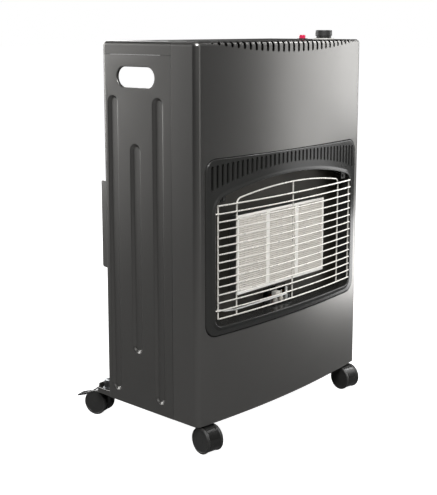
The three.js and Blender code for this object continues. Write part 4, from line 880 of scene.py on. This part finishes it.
def makeKnob():
    x, y = controls["tap"]
    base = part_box("control_knob")[0].z * 1000
    bm = bmesh.new()
    r, top, turn = knob["radius"], base + knob["height"], knob["round"]
    recess, recessTop = knob["recess"]
    socket, socketTop = knob["socket"]
    profile = [(0, base + socketTop), (socket, base + socketTop), (socket, base + recessTop),
               (recess, base + recessTop), (recess, base), (r - knob["chamfer"], base),
               (r, base + knob["chamfer"])]
    profile += [(r - knob["draft"] - turn + turn * math.cos(t), top - turn + turn * math.sin(t))
                for t in quarterTurn(5)]
    profile += [(0, top)]
    turned(bm, profile, 96)
    place = standing(x, y, knob["turn"])
    bmesh.ops.transform(bm, verts=bm.verts, matrix=place)
    piece = makeObject("control_knob_finished", bm)
    # two hollows leave the grip bar standing between them
    for side in (0, math.pi):
        grip = bmesh.new()
        reach = r - knob["wall"]
        lean = math.asin(knob["bar"] / 2 / reach)
        hollow = arc(0, 0, reach, lean + side, math.pi - lean + side, 24)
        prism(grip, hollow, base + knob["floor"], top + 5, "z")
        faceOut(grip)
        roundEdges(grip, knob["gripEdge"], 40, 3)
        bmesh.ops.transform(grip, verts=grip.verts, matrix=place)
        combine(piece, makeObject("grip", grip), "DIFFERENCE")
    softCorners(piece, knob["edge"], 50)
    dress(piece, "blackNylon", "control_knob")


def makeButton():
    bm = bmesh.new()
    r = button["radius"]
    profile = [(0, button["bottom"]), (r, button["bottom"])]
    profile += [(r - button["round"] * (1 - math.cos(t)), button["top"] - button["round"] * (1 - math.sin(t)))
                for t in quarterTurn(5)]
    profile += [(r * share, button["top"] - deep) for share, deep in button["dish"]]
    turned(bm, profile, 40, controls["button"])
    makePiece(bm, "redPlastic", "igniter_button")


def makeDial():
    bm = bmesh.new()
    r, hole, boss, edge = dial["radius"], dial["hole"], dial["boss"], dial["edge"]
    low, high, bossTop = dial["low"], dial["high"], dial["bossTop"]
    profile = [(hole, low), (r, low), (r, low + 0.8), (r - 0.4, high - edge), (r - 1.0, high), (boss, high),
               (boss, bossTop - edge), (boss - edge, bossTop), (hole, bossTop), (hole, low)]
    turned(bm, profile, 72, controls["tap"])
    makePiece(bm, "dialPrintAndSheen", "dial_plate")


wheel = {"radius": 23.5, "width": 5.5, "round": 1.6, "rim": 3.2, "sink": 0.8, "hub": 7.0, "bore": 3.3,
         "slope": 0.5, "chamfer": 0.3, "dome": 0.45}
hood = {"width": 23.0, "radius": 22.8, "clear": 6.0, "neck": 8.0, "neckTop": 49.7, "neckEdge": 0.7,
        "stem": 4.0, "stemTop": 66.0, "edge": 1.1}
caster = {"trail": 22.0, "x": 210.0, "frontY": 22.0, "rearY": 258.0, "frontTurn": -9.0, "rearTurn": 195.0,
          "metalEdge": 0.3}


def makeWheel(name, place, side):
    bm = bmesh.new()
    r, e = wheel["radius"], wheel["round"]
    inner = hood["width"] / 2 + casing["gap"]
    outer = inner + wheel["width"]
    face = outer - wheel["sink"]
    profile = [(wheel["bore"], inner), (r - e, inner)]
    profile += [(r - e * (1 - math.cos(t)), inner + e * (1 - math.sin(t))) for t in reversed(quarterTurn(4))]
    profile += [(r - e * (1 - math.cos(t)), outer - e * (1 - math.sin(t))) for t in quarterTurn(4)]
    rim = r - wheel["rim"]
    slope, chamfer = wheel["slope"], wheel["chamfer"]
    profile += [(rim + slope, outer), (rim, outer - chamfer), (rim - slope, face), (wheel["hub"] + 1, face),
                (wheel["hub"], face + chamfer), (0, face + wheel["dome"])]
    turned(bm, profile, 72)
    bmesh.ops.rotate(bm, verts=bm.verts, cent=(0, 0, 0), matrix=Matrix.Rotation(side * math.pi / 2, 3, "Y"))
    bmesh.ops.translate(bm, verts=bm.verts, vec=(0, -caster["trail"], wheel["radius"]))
    bmesh.ops.transform(bm, verts=bm.verts, matrix=place)
    makePiece(bm, "blackNylon", name)


def makeHood(name, place):
    bm = bmesh.new()
    half = hood["width"] / 2
    drum = arc(-caster["trail"], wheel["radius"], hood["radius"], 0, 2 * math.pi, 80)[:-1]
    prism(bm, drum, -half, half, "x")
    keepSide(bm, (0, 0, hood["clear"]), (0, 0, -1))
    rim = [e for e in bm.edges if e.is_boundary]
    bmesh.ops.holes_fill(bm, edges=rim, sides=0)
    faceOut(bm)
    roundEdges(bm, hood["edge"], 30, 3)
    bmesh.ops.transform(bm, verts=bm.verts, matrix=place)
    piece = makeObject(name + "_finished", bm)
    tool = bmesh.new()
    neck, top, edge = hood["neck"], hood["neckTop"], hood["neckEdge"]
    turned(tool, [(0, wheel["radius"]), (neck, wheel["radius"]), (neck, top - edge), (neck - edge, top),
                  (hood["stem"], top), (hood["stem"], hood["stemTop"]), (0, hood["stemTop"])], 40)
    bmesh.ops.transform(tool, verts=tool.verts, matrix=place)
    combine(piece, makeObject("neck", tool), "UNION")
    dress(piece, "glossNylon", name)


def makeCasters():
    for row in ("front", "rear"):
        for side, sign in (("left", -1), ("right", 1)):
            name = row + "_" + side
            place = standing(sign * caster["x"], caster[row + "Y"], caster[row + "Turn"])
            makeHood(name + "_caster_hood", place)
            makeWheel(name + "_wheel_near", place, -1)
            makeWheel(name + "_wheel_far", place, 1)
            soften(name + "_caster_axle", "zincSteel", caster["metalEdge"])
            soften(name + "_caster_socket", "zincSteel", caster["metalEdge"])


# place in metres, angles in degrees, focal length and shift in pixels of the photo's height
view = {
    "place": (-1.4190, -1.2463, 0.7328), "yaw": 48.3763, "pitch": 9.1088, "focal": 985.27, "shift": 62.0,
    "pictureHeight": 495.0, "sensor": 36.0,
}
studio = {
    "fill": 0.03,           # what the dim room gives
    # the camera sees half the floor's own colour, with its shadow, and half a white glow
    "floorShare": 0.5, "floorGlow": 2.0, "floorColour": "#f4f4f4", "floorDim": "#707070", "floorSize": 60.0,
    "floorDrop": 0.0003,    # keeps the floor just clear of the wheels
}
lamps = {
    # two banks that fade into each other: the broad highlight on the right of the front
    "rightBank": {"at": (1.62, -0.62, 0.95), "aim": (0.0, -0.15, 0.6), "size": (0.5, 1.2), "power": 7.6},
    "rightEdge": {"at": (1.3, -1.0, 0.8), "aim": (0.0, -0.15, 0.6), "size": (0.46, 1.4), "power": 5.0},
    # low at the right, for the foot of the front and the front casters
    "rightFoot": {"at": (0.9, -0.46, 0.04), "aim": (0.15, -0.17, 0.15), "size": (0.5, 0.35), "power": 3.2},
    # soft light on the sill and the upper edges
    "sillLamp": {"at": (1.5, -0.45, 1.8), "aim": (0.0, -0.16, 0.25), "size": (0.3, 0.5), "power": 8.0},
    # light on the burner from high up, out of the way of upright mirrors
    "highBank": {"at": (-1.2, -1.3, 2.2), "aim": (0.0, -0.15, 0.3), "size": (0.9, 0.9), "power": 88.0},
    # for the front's left corner
    "cornerStrip": {"at": (-0.25, -2.6, 0.8), "aim": (0.0, -0.15, 0.45), "size": (0.5, 1.6), "power": 3.5},
    "rearLeftBank": {"at": (-0.8, 1.6, 0.9), "aim": (-0.24, 0.0, 0.5), "size": (0.5, 1.2), "power": 13.0},
    "sideBank": {"at": (-1.11, 1.34, 0.72), "aim": (-0.24, 0.0, 0.45), "size": (0.8, 1.4), "power": 2.5},
    "topBank": {"at": (-0.4, 0.2, 2.6), "aim": (0, 0, 0.4), "size": (2.0, 2.0), "power": 6.0},
    # the back and the right side, which the other lamps leave dark
    "backBank": {"at": (1.0, 2.3, 1.3), "aim": (0.1, 0.1, 0.35), "size": (1.4, 1.2), "power": 34.0},
}


def makeCamera():
    data = bpy.data.cameras.new("camera")
    data.sensor_width = view["sensor"]
    data.lens = view["focal"] * view["sensor"] / view["pictureHeight"]
    data.shift_y = -view["shift"] / view["pictureHeight"]
    data.clip_end = 100
    camera = bpy.data.objects.new("camera", data)
    camera.location = view["place"]
    camera.rotation_euler = (math.radians(90 - view["pitch"]), 0, math.radians(-view["yaw"]))
    bpy.context.scene.collection.objects.link(camera)
    bpy.context.scene.camera = camera


def makeLamps():
    for name, lamp in lamps.items():
        data = bpy.data.lights.new(name, "AREA")
        data.shape = "RECTANGLE"
        data.size, data.size_y = lamp["size"]
        data.energy = lamp["power"]
        made = bpy.data.objects.new(name, data)
        made.location = lamp["at"]
        made.rotation_mode = "QUATERNION"
        made.rotation_quaternion = (Vector(lamp["aim"]) - Vector(lamp["at"])).to_track_quat("-Z", "Y")
        made.visible_camera = False
        bpy.context.scene.collection.objects.link(made)


def makeRoom():
    world = bpy.data.worlds.new("whiteRoom")
    bpy.context.scene.world = world
    world.use_nodes = True
    tree = world.node_tree
    tree.nodes.clear()
    seen = addNode(tree, "ShaderNodeLightPath").outputs["Is Camera Ray"]
    strength = addNode(tree, "ShaderNodeMapRange", {"To Min": studio["fill"], "To Max": 1.0}, {"Value": seen})
    glow = addNode(tree, "ShaderNodeBackground", {"Color": (1, 1, 1, 1)},
                   {"Strength": strength.outputs["Result"]})
    addNode(tree, "ShaderNodeOutputWorld", links={"Surface": glow.outputs[0]})
    bm = bmesh.new()
    bmesh.ops.create_grid(bm, x_segments=1, y_segments=1, size=studio["floorSize"] / 2)
    mesh = bpy.data.meshes.new("floor")
    bm.to_mesh(mesh)
    bm.free()
    floor = bpy.data.objects.new("floor", mesh)
    floor.location.z = -studio["floorDrop"]
    bpy.context.scene.collection.objects.link(floor)
    made = bpy.data.materials.new("paleFloor")
    made.use_nodes = True
    tree = made.node_tree
    tree.nodes.clear()
    seen = addNode(tree, "ShaderNodeLightPath").outputs["Is Camera Ray"]
    hue = addNode(tree, "ShaderNodeMix", {6: linear(studio["floorDim"]), 7: linear(studio["floorColour"])},
                  {0: seen}, data_type="RGBA")
    matt = addNode(tree, "ShaderNodeBsdfDiffuse", links={"Color": hue.outputs[2]})
    light = addNode(tree, "ShaderNodeEmission", {"Color": (1, 1, 1, 1), "Strength": studio["floorGlow"]})
    share = addNode(tree, "ShaderNodeMath", {1: studio["floorShare"]}, {0: seen}, operation="MULTIPLY")
    mixed = addNode(tree, "ShaderNodeMixShader",
                    links={0: share.outputs[0], 1: matt.outputs[0], 2: light.outputs[0]})
    addNode(tree, "ShaderNodeOutputMaterial", links={"Surface": mixed.outputs[0]})
    mesh.materials.append(made)
    bpy.context.scene.view_settings.view_transform = "Standard"


# Pieces whose modelled shape stays: the finish of each and the width of its softened edges.
plainPieces = {
    "base_tray": ("sidePaint", 0.4), "partition_panel": ("bluedSteel", 0.3),
    "heat_shield": ("zincSteel", 0.3), "reflector_panel": ("bluedSteel", 0.2),
    "burner_housing": ("zincSteel", 0.3), "gas_rail": ("machinedBrass", 0.4),
    "pilot_bracket": ("zincSteel", 0.25), "pilot_burner": ("nickelWire", 0.3),
    "spark_electrode": ("glazedPorcelain", 0.2), "gas_tap": ("machinedBrass", 0.6),
    "valve_plunger": ("machinedBrass", 0.3), "valve_spindle": ("zincSteel", 0.3),
    "igniter_body": ("blackNylon", 0.3), "hose_nipple": ("machinedBrass", 0.2),
    "bottle_retainer": ("sidePaint", 0.35),
    "rear_left_brake_lever": ("glossNylon", 0.6), "rear_right_brake_lever": ("glossNylon", 0.6),
    "left_surround_screw": ("dullAndShadedZinc", 0.3), "right_surround_screw": ("dullAndShadedZinc", 0.3),
}
# closes the slit between the partition's top and the cover
partitionStrip = ((-231, 76, 706), (231, 77.2, 708.6))
# round tubes and leads: only their ends are softened
tubeEdge = {"width": 0.15, "angle": 60, "segments": 1}
smoothNodes = {
    "left_mixing_tube": "dullAndShadedZinc", "middle_mixing_tube": "dullAndShadedZinc", "right_mixing_tube": "dullAndShadedZinc",
    "main_gas_pipe": "drawnCopper", "pilot_gas_pipe": "drawnCopper", "ignition_lead": "glassSleeve",
    "thermocouple": "brightTube",
}


def makePlain():
    for node, (finish, width) in plainPieces.items():
        piece = soften(node, finish, width)
        if node == "partition_panel":
            addBoxes(piece, [partitionStrip], 0.1)
    for node, finish in smoothNodes.items():
        soften(node, finish, **tubeEdge)


makeCamera()
makeLamps()
makeRoom()
print("camera, lamps and floor are in place")
makeCasing()
print("front panel and top cover done")
makeSides()
print("side panels done")
makeSurround()
print("window surround done")
makeGuard()
makeBurner()
print("guard and burner done")
makeKnob()
makeButton()
makeDial()
makeCasters()
print("controls and casters done")
makePlain()
print("remaining pieces done")
